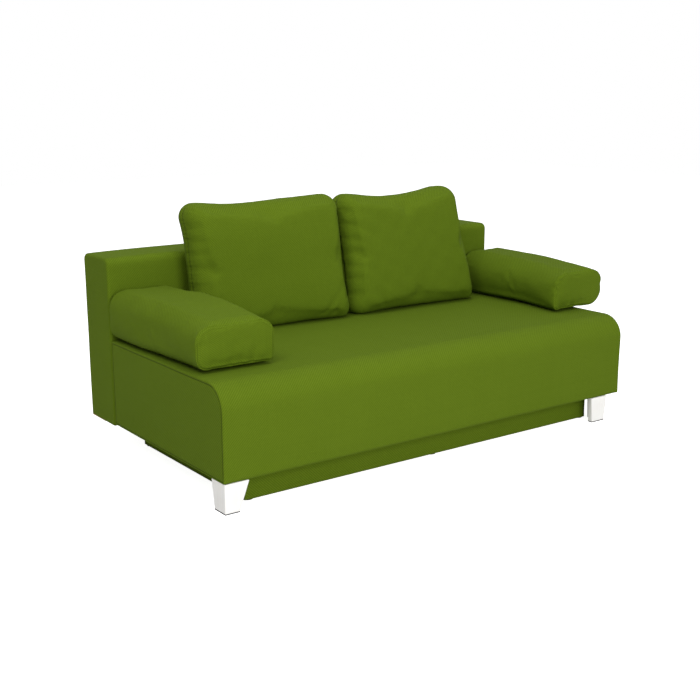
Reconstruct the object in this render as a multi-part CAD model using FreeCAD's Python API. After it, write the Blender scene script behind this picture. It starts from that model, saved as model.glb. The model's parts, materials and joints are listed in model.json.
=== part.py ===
import FreeCAD, Part
import math
import os

# A three-seat sofa bed. The seat pulls forward off a bedding box that stays on
# the floor, and two lift arms lay the back down level with it.
# Millimetres. +X runs along the sofa to the right, the front faces -Y, +Z is up,
# and the origin is on the floor in the middle of the sofa.

# --- outside sizes ---
length = 1900.0
seat_depth = 834.0
back_thickness = 217.0
seat_height = 432.0
leg_height = 104.0
back_top = 739.0
back_bottom = 91.0
seat_front_radius = 90.0
back_edge_radius = 20.0

# --- soft layers ---
skin = 2.0
seat_foam_thickness = 100.0
front_pad_thickness = 22.0
back_foam_thickness = 90.0
back_top_pad_thickness = 18.0
felt_thickness = 4.0

# --- timber ---
board = 18.0
slat_thickness = 8.0
slat_width = 55.0
seat_slat_count = 14
back_slat_count = 12
cross_rail_width = 30.0
cross_rail_height = 60.0
runner_board_width = 60.0
runner_board_height = 33.0
hardboard = 3.0
leg_block_height = 44.0
leg_block_width = 80.0

# --- bedding box ---
box_end_inset = 118.0
box_front_inset = 74.0
box_rear_gap = 4.0
box_top = 90.0
box_skin = 1.5
box_board = 16.0
box_divider_thickness = 16.0
box_panel_thickness = 4.0
batten_thickness = 6.0
batten_width = 60.0
glide_height = 3.0
glide_radius = 20.0

# --- legs: two painted boards meeting at a corner ---
leg_board = 22.0
leg_glide_thickness = 3.0
left_leg_inset = 0.0
left_leg_width_top = 94.0
left_leg_width_foot = 56.0
left_leg_outer_taper = 0.0
right_leg_inset = 72.0
right_leg_width_top = 91.0
right_leg_width_foot = 72.0
right_leg_outer_taper = 10.0
leg_depth_top = 87.0
leg_depth_foot = 71.0
leg_bolt_radius = 4.0
leg_bolt_in_leg = 40.0
leg_bolt_in_block = 34.0

# --- guide rails and rollers ---
rail_height = 30.0
rail_depth = 14.0
rail_wall = 2.0
rail_top_gap = 2.0
rail_end_gap = 6.0
roller_width = 8.0
roller_clearance = 0.3
roller_bore_clearance = 0.05
axle_radius = 4.0
roller_rear_setback = 58.0
roller_spacing = 190.0
bracket_thickness = 3.0
bracket_half_length = 20.0
bracket_below_axle = 11.0
bracket_roller_gap = 6.0
screw_radius = 2.0
screw_length = 12.0
screw_count = 5
rail_screw_inset = 30.0
axle_tail = 1.0

# --- lift arms ---
arm_x = 880.0
arm_thickness = 6.0
arm_width = 24.0
arm_eye_radius = 14.0
arm_slot_width = 10.0
arm_side_gap = 6.0
arm_slot_clearance = 3.0
pivot_plate_half = 30.0
mech_board_reach = 60.0
pin_radius = 5.0
pin_clearance = 0.05
pin_head_radius = 9.0
pin_head = 3.0
hinge_inset = 16.0
back_panel_inset = 12.0
hinge_web_gap = 2.0
hinge_room = 1.0
ear_radius = 11.0
hinge_block_height = 108.0
joint_gap = 1.0

# --- loose cushions and bolsters ---
cushion_height = 516.0
cushion_thickness = 165.0
cushion_edge = 60.0
cushion_tilt = 7.0
cushion_sink = 22.0
cushion_left_inset = 282.0
cushion_split = 56.0
cushion_right_inset = 192.0
cushion_gap = 4.0
bolster_height = 205.0
bolster_edge = 72.0
bolster_sink = 10.0
bolster_rear_gap = 4.0
left_bolster = {"overhang": -4.0, "width": 312.0, "depth": 660.0}
right_bolster = {"overhang": 110.0, "width": 276.0, "depth": 621.5}
cover_skin = 2.0
insert_gap = 0.4
rest_gap = 0.5

# --- how far a cutting tool runs past what it cuts ---
over = 1.0

# --- worked out from the sizes above ---
half = length / 2
front_y = -(seat_depth + back_thickness) / 2
joint_y = front_y + seat_depth
rear_y = joint_y + back_thickness
seat_rear_y = joint_y - joint_gap
back_height = back_top - back_bottom
seat_travel = back_height - back_thickness

body_bottom = leg_height + skin
foam_top = seat_height - skin
foam_bottom = foam_top - seat_foam_thickness
felt_bottom = foam_bottom - felt_thickness
frame_top = felt_bottom - slat_thickness
rail_front_y = front_y + skin + front_pad_thickness
frame_rear_y = seat_rear_y - skin
frame_half = half - skin

box_half = half - box_end_inset
box_front_y = front_y + box_front_inset
box_rear_y = joint_y - box_rear_gap
box_board_half = box_half - box_skin
box_board_front = box_front_y + box_skin
box_in_half = box_board_half - box_board
box_in_front = box_board_front + box_board
box_in_rear = box_rear_y - box_board
panel_top = glide_height + batten_thickness + box_panel_thickness

rail_top = box_top - rail_top_gap
rail_bottom = rail_top - rail_height
rail_inner_x = box_in_half - rail_depth
axle_z = (rail_top + rail_bottom) / 2
roller_radius = rail_height / 2 - rail_wall - roller_clearance
roller_x = rail_inner_x + rail_wall
bracket_x = rail_inner_x - bracket_roller_gap - bracket_thickness
roller_rear_y = seat_rear_y - roller_rear_setback
roller_front_y = roller_rear_y - roller_spacing

hinge_y = joint_y + hinge_inset
hinge_z = back_bottom + hinge_inset
hinge_rise = (seat_height - hinge_inset) - hinge_z
arm_reach = hinge_rise / 2
pivot_y = hinge_y - arm_reach
pivot_z = hinge_z + arm_reach
arm_half = arm_thickness / 2
arm_half_across = arm_width / 2 * math.sqrt(2)
hinge_notch = 2 * hinge_inset + arm_half_across + arm_slot_clearance
mech_board_x = arm_x - arm_half - arm_side_gap - bracket_thickness - board

back_frame_front = joint_y + skin + back_foam_thickness
back_frame_rear = rear_y - skin - hardboard
back_frame_top = back_top - skin - back_top_pad_thickness
back_frame_bottom = back_bottom + skin

cushion_left_edge = -half + cushion_left_inset
cushion_right_edge = half - cushion_right_inset


def box(x0, x1, y0, y1, z0, z1):
    """A block between two corners."""
    return Part.makeBox(x1 - x0, y1 - y0, z1 - z0, FreeCAD.Vector(x0, y0, z0))


def rod(radius, start, end):
    """A round bar between two points."""
    a = FreeCAD.Vector(*start)
    run = FreeCAD.Vector(*end) - a
    return Part.makeCylinder(radius, run.Length, a, run)


def mirrored(shape):
    """The same shape at the other end of the sofa."""
    return shape.mirror(FreeCAD.Vector(0, 0, 0), FreeCAD.Vector(1, 0, 0))


def both_ends(shape):
    return [shape, mirrored(shape)]


def cut(shape, tools):
    return shape.cut(tools) if tools else shape


def save(name, *solids):
    """Write one named piece, or a group of like pieces, as a STEP file."""
    shape = solids[0] if len(solids) == 1 else Part.makeCompound(list(solids))
    shape.exportStep("parts/" + name + ".step")


def edges_along_x(shape, y, z):
    """The straight edges of a shape that run along X through (y, z)."""
    found = []
    for edge in shape.Edges:
        ends = [v.Point for v in edge.Vertexes]
        if len(ends) != 2 or abs(ends[0].x - ends[1].x) < over:
            continue
        if all(abs(p.y - y) < 0.01 and abs(p.z - z) < 0.01 for p in ends):
            found.append(edge)
    return found


def rounded_block(x0, x1, y0, y1, z0, z1, corners):
    """A block whose X edges at the (y, z) corners in a table are rounded to a radius."""
    shape = box(x0, x1, y0, y1, z0, z1)
    for (y, z), radius in corners.items():
        shape = shape.makeFillet(radius, edges_along_x(shape, y, z))
    return shape


# --- bedding box ---

def rail_screw_axes():
    """(y, z) of the screws that hold each guide rail."""
    first = box_in_front + rail_end_gap + rail_screw_inset
    last = box_in_rear - rail_end_gap - rail_screw_inset
    step = (last - first) / (screw_count - 1)
    return [(first + i * step, axle_z) for i in range(screw_count)]


def rail_screws():
    """Countersunk wood screws, flush in the rail's web."""
    web = box_in_half - rail_wall
    return [
        rod(screw_radius, (web, y, z), (web + screw_length, y, z))
        for y, z in rail_screw_axes()
    ]


def make_box_boards():
    save("base_front_board", box(-box_board_half, box_board_half, box_board_front,
                                 box_in_front, glide_height, box_top))
    save("base_rear_board", box(-box_board_half, box_board_half, box_in_rear,
                                box_rear_y, glide_height, box_top))
    side = box(box_in_half, box_board_half, box_in_front, box_in_rear, glide_height, box_top)
    side = cut(side, rail_screws())
    save("base_side_boards", *both_ends(side))
    divider_half = box_divider_thickness / 2
    save("base_divider", box(-divider_half, divider_half, box_in_front, box_in_rear,
                             panel_top, box_top))


def make_box_bottom():
    batten_top = glide_height + batten_thickness
    save("base_bottom_panel", box(-box_in_half, box_in_half, box_in_front, box_in_rear,
                                  batten_top, panel_top))
    side_x = box_in_half / 2
    battens = [
        box(x - batten_width / 2, x + batten_width / 2, box_in_front, box_in_rear,
            glide_height, batten_top)
        for x in (-side_x, 0.0, side_x)
    ]
    save("base_battens", *battens)
    corner_x = box_board_half - glide_radius
    rows = (box_board_front + glide_radius, box_rear_y - glide_radius)
    feet = [(x, y) for x in (-corner_x, 0.0, corner_x) for y in rows] + [(0.0, 0.0)]
    save("base_glides", *[rod(glide_radius, (x, y, 0), (x, y, glide_height)) for x, y in feet])


def make_box_cover():
    """Fabric round the front and both ends of the bedding box."""
    outer = box(-box_half, box_half, box_front_y, box_rear_y, glide_height, box_top)
    inner = box(-box_board_half, box_board_half, box_board_front, box_rear_y + over,
                0.0, box_top + over)
    save("base_cover", outer.cut(inner))


def make_guide_rails():
    """Steel channels, open inwards, that carry the rollers."""
    y0 = box_in_front + rail_end_gap
    y1 = box_in_rear - rail_end_gap
    outer = box(rail_inner_x, box_in_half, y0, y1, rail_bottom, rail_top)
    groove = box(rail_inner_x - over, box_in_half - rail_wall, y0 - over, y1 + over,
                 rail_bottom + rail_wall, rail_top - rail_wall)
    save("guide_rails", *both_ends(cut(outer.cut(groove), rail_screws())))
    screws = rail_screws()
    save("rail_screws", *(screws + [mirrored(s) for s in screws]))


def make_base():
    make_box_boards()
    make_box_bottom()
    make_box_cover()
    make_guide_rails()


# --- seat ---

def arm_slots(y0, y1, z0, z1):
    """Narrow slots that the lift arms swing through."""
    slot = box(arm_x - arm_slot_width / 2, arm_x + arm_slot_width / 2, y0, y1, z0, z1)
    return both_ends(slot)


def seat_arm_slots():
    """Slots from the arm's pivot out through the rear of the seat."""
    top = seat_height - 2 * hinge_inset + arm_half_across + arm_slot_clearance
    return arm_slots(pivot_y - 2 * arm_eye_radius, seat_rear_y + over, 0.0, top)


def make_seat_frame():
    inner_half = frame_half - board
    front_in = rail_front_y + board
    rear_in = frame_rear_y - board
    save("seat_front_rail", box(-inner_half, inner_half, rail_front_y, front_in,
                                body_bottom, frame_top))
    rear = box(-inner_half, inner_half, rear_in, frame_rear_y, body_bottom, frame_top)
    save("seat_rear_rail", *cut(rear, seat_arm_slots()).Solids)
    side = box(inner_half, frame_half, rail_front_y, frame_rear_y, body_bottom, felt_bottom)
    bolts = [leg_bolt(outer_x, end) for end, outer_x, *rest in leg_places().values()]
    save("seat_side_boards", *[cut(one, bolts) for one in both_ends(side)])
    mech_front = pivot_y - mech_board_reach
    mech = box(mech_board_x, mech_board_x + board, mech_front, rear_in, body_bottom,
               frame_top)
    save("seat_mechanism_boards", *both_ends(cut(mech, [pivot_bolt()])))
    cross = []
    for i in (-1, 0, 1):
        x = i * inner_half * 2 / 3
        cross.append(box(x - cross_rail_width / 2, x + cross_rail_width / 2, front_in,
                         rear_in, frame_top - cross_rail_height, frame_top))
    save("seat_cross_rails", *cross)
    runner_x = bracket_x + bracket_thickness
    runner = box(runner_x - runner_board_width, runner_x, front_in, rear_in,
                 body_bottom + bracket_thickness,
                 body_bottom + bracket_thickness + runner_board_height)
    save("seat_runner_boards", *both_ends(runner))


def make_seat_slats():
    """Sprung slats laid front to back on the seat rails."""
    inner_half = frame_half - board
    pitch = 2 * inner_half / seat_slat_count
    slats = []
    for i in range(seat_slat_count):
        x = -inner_half + (i + 0.5) * pitch
        slat = box(x - slat_width / 2, x + slat_width / 2, rail_front_y, frame_rear_y,
                   frame_top, felt_bottom)
        slats.append(cut(slat, seat_arm_slots()))
    solids = [solid for slat in slats for solid in slat.Solids]
    save("seat_slats", *solids)


def seat_outline_corner(offset):
    """The rounded front top edge, moved in from the outer face by an offset."""
    return (front_y + offset, seat_height - offset)


def make_seat_foam():
    felt = box(-frame_half, frame_half, rail_front_y, frame_rear_y, felt_bottom, foam_bottom)
    save("seat_felt", *cut(felt, seat_arm_slots()).Solids)
    corner = seat_outline_corner(skin)
    foam = rounded_block(-frame_half, frame_half, front_y + skin, frame_rear_y,
                         foam_bottom, foam_top, {corner: seat_front_radius - skin})
    save("seat_foam", cut(foam, seat_arm_slots()))
    save("seat_front_pad", box(-frame_half, frame_half, front_y + skin, rail_front_y,
                               body_bottom, foam_bottom))


def make_seat_covers():
    """Fabric: one sheet over the top and front, a panel on each end, a rear lining."""
    outer = rounded_block(-frame_half, frame_half, front_y, seat_rear_y, leg_height,
                          seat_height, {seat_outline_corner(0.0): seat_front_radius})
    inner = rounded_block(-frame_half - over, frame_half + over, front_y + skin,
                          seat_rear_y + over, leg_height - over, foam_top,
                          {seat_outline_corner(skin): seat_front_radius - skin})
    save("seat_cover", outer.cut(inner))
    end = rounded_block(frame_half, half, front_y, seat_rear_y, leg_height, seat_height,
                        {seat_outline_corner(0.0): seat_front_radius})
    save("seat_side_covers", *both_ends(end))
    lining = box(-frame_half, frame_half, frame_rear_y, seat_rear_y, leg_height, foam_top)
    save("seat_rear_lining", *cut(lining, seat_arm_slots()).Solids)


def make_seat_bottom_panel():
    runner_x = bracket_x + bracket_thickness - runner_board_width
    save("seat_bottom_panel", box(-runner_x, runner_x, rail_front_y, frame_rear_y,
                                  leg_height, body_bottom))


def leg(outer_x, width_top, width_foot, outer_taper, side):
    """An L-shaped corner leg: a front board and an end board, tapered to the foot."""
    foot = leg_glide_thickness
    toward = -side

    def slab(x_top, x_foot, y_top, y_foot):
        lower = [(x_foot[0], y_foot[0]), (x_foot[1], y_foot[0]),
                 (x_foot[1], y_foot[1]), (x_foot[0], y_foot[1])]
        upper = [(x_top[0], y_top[0]), (x_top[1], y_top[0]),
                 (x_top[1], y_top[1]), (x_top[0], y_top[1])]
        rings = []
        for ring, z in ((lower, foot), (upper, leg_height)):
            points = [FreeCAD.Vector(x, y, z) for x, y in ring]
            rings.append(Part.makePolygon(points + points[:1]))
        return Part.makeLoft(rings, True, True)

    outer_foot = outer_x + toward * outer_taper
    front = slab((outer_x, outer_x + toward * width_top),
                 (outer_foot, outer_foot + toward * width_foot),
                 (front_y, front_y + leg_board), (front_y, front_y + leg_board))
    end = slab((outer_x, outer_x + toward * leg_board),
               (outer_foot, outer_foot + toward * leg_board),
               (front_y, front_y + leg_depth_top), (front_y, front_y + leg_depth_foot))
    return front.fuse(end).removeSplitter()


def leg_places():
    """Each leg's side, outer face and widths."""
    return {
        "leg_left": (-1, -half + left_leg_inset, left_leg_width_top,
                     left_leg_width_foot, left_leg_outer_taper),
        "leg_right": (1, half - right_leg_inset, right_leg_width_top,
                      right_leg_width_foot, right_leg_outer_taper),
    }


def leg_bolt(outer_x, side):
    """A hanger bolt up through the leg's end board into the block above."""
    x = outer_x - side * leg_board / 2
    y = front_y + skin + front_pad_thickness + board + leg_board / 2
    return rod(leg_bolt_radius, (x, y, leg_height - leg_bolt_in_leg),
               (x, y, body_bottom + leg_bolt_in_block))


def make_legs():
    bolts = []
    blocks = []
    glides = []
    for name, (side, outer_x, top, foot, taper) in leg_places().items():
        bolt = leg_bolt(outer_x, side)
        shape = leg(outer_x, top, foot, taper, side)
        save(name, shape.cut(bolt))
        bolts.append(bolt)
        inner_limit = frame_half - board
        outer_block = min(abs(outer_x), inner_limit)
        x0, x1 = sorted((side * outer_block, side * (outer_block - leg_block_width)))
        y0 = rail_front_y + board
        block = box(x0, x1, y0, y0 + leg_block_width, body_bottom,
                    body_bottom + leg_block_height)
        blocks.append(block.cut(bolt))
        foot_x = outer_x - side * taper
        x0, x1 = sorted((foot_x, foot_x - side * foot))
        sole = box(x0, x1, front_y, front_y + leg_board, 0.0, leg_glide_thickness)
        x0, x1 = sorted((foot_x, foot_x - side * leg_board))
        sole = sole.fuse(box(x0, x1, front_y, front_y + leg_depth_foot, 0.0,
                             leg_glide_thickness))
        glides.append(sole.removeSplitter())
    save("leg_bolts", *bolts)
    save("seat_leg_blocks", *blocks)
    save("leg_glides", *glides)


def make_rollers():
    """Four rollers under the seat, each on its own bracket and axle."""
    brackets = []
    axles = []
    for row, y in (("front", roller_front_y), ("rear", roller_rear_y)):
        axle_end = roller_x + roller_width + axle_tail
        axle = rod(axle_radius, (bracket_x, y, axle_z), (axle_end, y, axle_z))
        plate = box(bracket_x, bracket_x + bracket_thickness, y - bracket_half_length,
                    y + bracket_half_length, axle_z - bracket_below_axle,
                    body_bottom + bracket_thickness)
        flange = box(bracket_x + bracket_thickness - runner_board_width, bracket_x,
                     y - bracket_half_length, y + bracket_half_length, body_bottom,
                     body_bottom + bracket_thickness)
        brackets += both_ends(plate.fuse(flange).removeSplitter().cut(axle))
        axles += both_ends(axle)
        bore = axle_radius + roller_bore_clearance
        wheel = rod(roller_radius, (roller_x, y, axle_z), (roller_x + roller_width, y, axle_z))
        wheel = wheel.cut(rod(bore, (roller_x - over, y, axle_z), (axle_end, y, axle_z)))
        save("roller_" + row + "_right", wheel)
        save("roller_" + row + "_left", mirrored(wheel))
    save("roller_brackets", *brackets)
    save("roller_axles", *axles)


def pivot_bolt():
    """The bolt that the lift arm turns on, right-hand end."""
    tail = (mech_board_x, pivot_y, pivot_z)
    nose = (arm_x + arm_half + pin_head, pivot_y, pivot_z)
    return rod(pin_radius, tail, nose)


def make_arm_pivots():
    plate_x = mech_board_x + board
    plate = box(plate_x, plate_x + bracket_thickness, pivot_y - pivot_plate_half,
                pivot_y + pivot_plate_half, pivot_z - pivot_plate_half,
                pivot_z + pivot_plate_half)
    spacer_x = plate_x + bracket_thickness
    spacer = rod(pin_head_radius, (spacer_x, pivot_y, pivot_z),
                 (arm_x - arm_half - pin_clearance, pivot_y, pivot_z))
    bracket = plate.fuse(spacer).removeSplitter().cut(pivot_bolt())
    save("arm_pivot_brackets", *both_ends(bracket))
    head_x = arm_x + arm_half + pin_clearance
    head = rod(pin_head_radius, (head_x, pivot_y, pivot_z),
               (head_x + pin_head, pivot_y, pivot_z))
    save("arm_pivot_bolts", *both_ends(pivot_bolt().fuse(head).removeSplitter()))


def make_seat():
    make_seat_frame()
    make_seat_slats()
    make_seat_foam()
    make_seat_covers()
    make_seat_bottom_panel()
    make_legs()
    make_rollers()
    make_arm_pivots()


# --- lift arms ---

def make_lift_arms():
    """Flat steel arms from the seat's pivots to the lower front edge of the back."""
    x0 = arm_x - arm_half
    x1 = arm_x + arm_half
    reach = arm_reach * math.sqrt(2)
    bar = box(x0, x1, 0.0, reach, -arm_width / 2, arm_width / 2)
    bar.rotate(FreeCAD.Vector(0, 0, 0), FreeCAD.Vector(1, 0, 0), -45.0)
    bar.translate(FreeCAD.Vector(0, pivot_y, pivot_z))
    ends = ((pivot_y, pivot_z), (hinge_y, hinge_z))
    arm = bar
    for y, z in ends:
        arm = arm.fuse(rod(arm_eye_radius, (x0, y, z), (x1, y, z)))
    for y, z in ends:
        arm = arm.cut(rod(pin_radius + pin_clearance, (x0 - over, y, z), (x1 + over, y, z)))
    arm = arm.removeSplitter()
    save("lift_arm_right", arm)
    save("lift_arm_left", mirrored(arm))


# --- back ---

def back_corner_block():
    """The room in the lower front foam for each hinge block and bracket."""
    x0 = mech_board_x
    x1 = arm_x + arm_half + arm_side_gap + bracket_thickness + hinge_room
    return both_ends(box(x0, x1, joint_y - over, back_frame_front, back_bottom - over,
                         back_frame_bottom + hinge_block_height))


def back_cover_slots():
    notch = joint_y + hinge_notch
    return arm_slots(joint_y - over, notch, back_bottom - over, back_bottom + hinge_notch)


def make_back_frame():
    inner_half = frame_half - board
    rail_y0 = back_frame_front + slat_thickness
    save("back_bottom_rail", box(-inner_half, inner_half, rail_y0, back_frame_rear,
                                 back_frame_bottom, back_frame_bottom + board))
    save("back_top_rail", box(-inner_half, inner_half, rail_y0, back_frame_rear,
                              back_frame_top - board, back_frame_top))
    side = box(inner_half, frame_half, back_frame_front, back_frame_rear,
               back_frame_bottom, back_frame_top)
    save("back_side_boards", *both_ends(side))
    posts = []
    for i in (-1, 1):
        x = i * inner_half / 3
        posts.append(box(x - cross_rail_width / 2, x + cross_rail_width / 2, rail_y0,
                         back_frame_rear, back_frame_bottom + board,
                         back_frame_top - board))
    save("back_posts", *posts)
    pitch = 2 * inner_half / back_slat_count
    slats = []
    for i in range(back_slat_count):
        x = -inner_half + (i + 0.5) * pitch
        slats.append(box(x - slat_width / 2, x + slat_width / 2, back_frame_front,
                         rail_y0, back_frame_bottom, back_frame_top))
    save("back_slats", *slats)
    panel_half = frame_half - back_panel_inset
    save("back_panel", box(-panel_half, panel_half, back_frame_rear, rear_y - skin,
                           back_frame_bottom + back_panel_inset, back_frame_top))


def make_back_foam():
    inside = back_edge_radius - skin
    foam = rounded_block(-frame_half, frame_half, joint_y + skin, back_frame_front,
                         back_frame_bottom, back_top - skin,
                         {(joint_y + skin, back_top - skin): inside,
                          (joint_y + skin, back_frame_bottom): hinge_inset - skin})
    save("back_foam", cut(foam, back_corner_block()))
    save("back_top_pad", box(-frame_half, frame_half, back_frame_front, back_frame_rear,
                             back_frame_top, back_top - skin))


def make_back_covers():
    """Fabric round the front, top, bottom and ends, and a panel across the rear."""
    outer = rounded_block(-half, half, joint_y, rear_y - skin, back_bottom, back_top,
                          {(joint_y, back_top): back_edge_radius,
                           (joint_y, back_bottom): hinge_inset})
    inner = rounded_block(-frame_half, frame_half, joint_y + skin, rear_y + over,
                          back_frame_bottom, back_top - skin,
                          {(joint_y + skin, back_top - skin): back_edge_radius - skin,
                           (joint_y + skin, back_frame_bottom): hinge_inset - skin})
    save("back_cover", cut(outer.cut(inner), back_cover_slots()))
    save("back_rear_cover", box(-half, half, rear_y - skin, rear_y, back_bottom, back_top))


def make_back_hinges():
    """A block, a U bracket and a pin at each lower front corner of the back."""
    block_top = back_frame_bottom + hinge_block_height
    block = rounded_block(mech_board_x, mech_board_x + board, joint_y + skin,
                          back_frame_front, back_frame_bottom, block_top,
                          {(joint_y + skin, back_frame_bottom): hinge_inset - skin})
    inner_ear = mech_board_x + board
    outer_ear = arm_x + arm_half + arm_side_gap
    pin = rod(pin_radius, (inner_ear - board, hinge_y, hinge_z),
              (outer_ear + bracket_thickness, hinge_y, hinge_z))
    web_y = joint_y + hinge_notch + hinge_web_gap
    ears = []
    for x in (inner_ear, outer_ear):
        eye = rod(ear_radius, (x, hinge_y, hinge_z), (x + bracket_thickness, hinge_y, hinge_z))
        plate = box(x, x + bracket_thickness, hinge_y, web_y + bracket_thickness,
                    hinge_z - ear_radius, hinge_z + 2 * ear_radius)
        ears.append(eye.fuse(plate))
    web = box(inner_ear, outer_ear + bracket_thickness, web_y, web_y + bracket_thickness,
              hinge_z - ear_radius, hinge_z + 2 * ear_radius)
    bracket = ears[0].fuse([ears[1], web]).cut(pin).removeSplitter()
    save("back_hinge_blocks", *both_ends(block.cut(pin)))
    save("back_hinge_brackets", *both_ends(bracket))
    save("back_hinge_pins", *both_ends(pin))


def make_back():
    make_back_frame()
    make_back_foam()
    make_back_covers()
    make_back_hinges()


# --- loose cushions and bolsters ---

def pillow(x0, x1, y0, y1, z0, z1, radius):
    """A block rounded on every edge."""
    shape = box(x0, x1, y0, y1, z0, z1)
    return shape.makeFillet(radius, shape.Edges)


def filled(shape_at):
    """A cover with its filling inside: shape_at(inset) gives the solid at each inset."""
    outer = shape_at(0.0)
    cavity = shape_at(cover_skin)
    filling = shape_at(cover_skin + insert_gap)
    return outer.cut(cavity), filling


def back_cushion(x0, x1, inset):
    """A cushion leaning on the rounded top edge of the back, flat where it stands."""
    tilt = math.radians(cushion_tilt)
    shape = pillow(x0 + inset, x1 - inset, inset, cushion_thickness - inset, inset,
                   cushion_height - inset, cushion_edge - inset)
    shape.rotate(FreeCAD.Vector(0, 0, 0), FreeCAD.Vector(1, 0, 0), -cushion_tilt)
    z_shift = seat_height - cushion_sink + cushion_thickness * math.sin(tilt)
    edge_y = joint_y + back_edge_radius
    edge_z = back_top - back_edge_radius
    reach = math.cos(tilt) * edge_y - math.sin(tilt) * edge_z
    reach -= cushion_thickness + back_edge_radius + rest_gap
    y_shift = (reach + math.sin(tilt) * z_shift) / math.cos(tilt)
    shape.translate(FreeCAD.Vector(0, y_shift, z_shift))
    floor = seat_height + rest_gap + inset
    keep = box(x0 - over, x1 + over, front_y, rear_y, floor, floor + 2 * cushion_height)
    return shape.common(keep)


def bolster(side, sizes, inset):
    """An arm bolster lying front to back, flat where it rests on the seat."""
    outer_x = side * (half + sizes["overhang"])
    inner_x = outer_x - side * sizes["width"]
    x0, x1 = sorted((outer_x, inner_x))
    y1 = joint_y - bolster_rear_gap
    y0 = y1 - sizes["depth"]
    z0 = seat_height - bolster_sink
    shape = pillow(x0 + inset, x1 - inset, y0 + inset, y1 - inset,
                   z0 + inset, z0 + bolster_height - inset, bolster_edge - inset)
    floor = seat_height + rest_gap + inset
    keep = box(x0, x1, front_y, rear_y, floor, floor + bolster_height)
    return shape.common(keep)


def clear_of_cushion(shape, inset):
    """Take out the corner of the left bolster that the left cushion presses in."""
    bounds = back_cushion(cushion_left_edge, cushion_split, 0.0).BoundBox
    gap = cushion_gap + inset
    room = box(bounds.XMin - gap, bounds.XMax, bounds.YMin - gap, rear_y, 0.0, back_top * 2)
    return shape.cut(room)


def make_cushions():
    spans = {
        "cushion_left": (cushion_left_edge, cushion_split - cushion_gap / 2),
        "cushion_right": (cushion_split + cushion_gap / 2, cushion_right_edge),
    }
    for name, (x0, x1) in spans.items():
        cover, insert = filled(lambda inset: back_cushion(x0, x1, inset))
        save(name + "_cover", cover)
        save(name + "_insert", insert)


def make_bolsters():
    cover, insert = filled(lambda inset: clear_of_cushion(bolster(-1, left_bolster, inset), inset))
    save("bolster_left_cover", cover)
    save("bolster_left_insert", insert)
    cover, insert = filled(lambda inset: bolster(1, right_bolster, inset))
    save("bolster_right_cover", cover)
    save("bolster_right_insert", insert)


os.makedirs("parts", exist_ok=True)
make_base()
make_seat()
make_lift_arms()
make_back()
make_cushions()
make_bolsters()
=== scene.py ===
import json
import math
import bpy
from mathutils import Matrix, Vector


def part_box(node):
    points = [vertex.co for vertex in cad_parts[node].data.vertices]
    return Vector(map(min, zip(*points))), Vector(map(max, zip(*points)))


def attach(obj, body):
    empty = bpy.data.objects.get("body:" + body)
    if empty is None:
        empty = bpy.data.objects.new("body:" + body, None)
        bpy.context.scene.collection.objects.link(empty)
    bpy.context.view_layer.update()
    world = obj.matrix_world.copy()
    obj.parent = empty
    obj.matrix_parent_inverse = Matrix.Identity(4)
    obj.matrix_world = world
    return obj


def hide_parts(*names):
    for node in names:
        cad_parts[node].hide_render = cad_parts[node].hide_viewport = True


bl_info = {
    "name": "Pull-out sofa with loose cushions",
    "version": (1, 0, 0),
    "blender": (4, 5, 0),
    "location": "View3D > Sidebar > Sofa",
    "description": "Makes the upholstery, loose cushions, legs and finishes of a pull-out sofa",
    "category": "Add Mesh",
}

from types import SimpleNamespace

import bpy
import numpy as np

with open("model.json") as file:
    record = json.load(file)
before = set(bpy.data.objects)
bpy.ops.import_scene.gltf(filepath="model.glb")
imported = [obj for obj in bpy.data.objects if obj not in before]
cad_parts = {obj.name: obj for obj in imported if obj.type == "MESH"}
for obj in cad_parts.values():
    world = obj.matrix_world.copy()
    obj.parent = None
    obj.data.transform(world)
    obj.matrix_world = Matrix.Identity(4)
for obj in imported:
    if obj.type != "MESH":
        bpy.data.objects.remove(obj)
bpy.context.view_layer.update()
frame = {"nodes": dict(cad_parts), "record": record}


# --- sizes and colours a user would change ---

def length_value(name, text, value):
    """A length in metres for the settings."""
    return bpy.props.FloatProperty(name=name, description=text, default=value,
                                   subtype="DISTANCE", unit="LENGTH")


def plain_value(name, text, value):
    """A plain number for the settings."""
    return bpy.props.FloatProperty(name=name, description=text, default=value)


def colour_value(name, text, value):
    """A colour, as linear light, for the settings."""
    return bpy.props.FloatVectorProperty(name=name, description=text, default=value,
                                         size=3, subtype="COLOR", min=0.0, max=1.0)


class SofaBodySettings(bpy.types.PropertyGroup):
    """Sizes of the seat, the back and the bedding box cover."""

    front_radius: length_value("Front radius", "Rounding of the seat's front top edge", 0.09)
    edge_radius: length_value("Edge radius", "Rounding of the seat's top rear edge", 0.014)
    foot_radius: length_value("Foot radius", "Rounding of the seat's bottom edges", 0.0080)
    end_radius: length_value("End radius", "Rounding of the seat's end edges", 0.007)
    back_end_radius: length_value("Back end radius", "Rounding of the back's end edges", 0.011)
    back_top_radius: length_value("Back top radius", "Rounding of the back's top edges", 0.026)
    back_foot_radius: length_value("Back foot radius", "Rounding of the back's lower edges", 0.022)
    seam_inset: length_value("Seam inset", "How far onto the end panel the seam runs", 0.0035)
    cell: length_value("Cell", "Spacing of the surface points", 0.011)
    crown: length_value("Crown", "How far the panels swell in the middle", 0.004)
    ripple: length_value("Ripple", "Height of the slack waves in the cloth", 0.0011)
    hem: length_value("Hem", "Height of the turned hem of the box cover", 0.012)
    box_corner: length_value("Box corner", "Rounding of the box cover's corners", 0.003)


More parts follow.
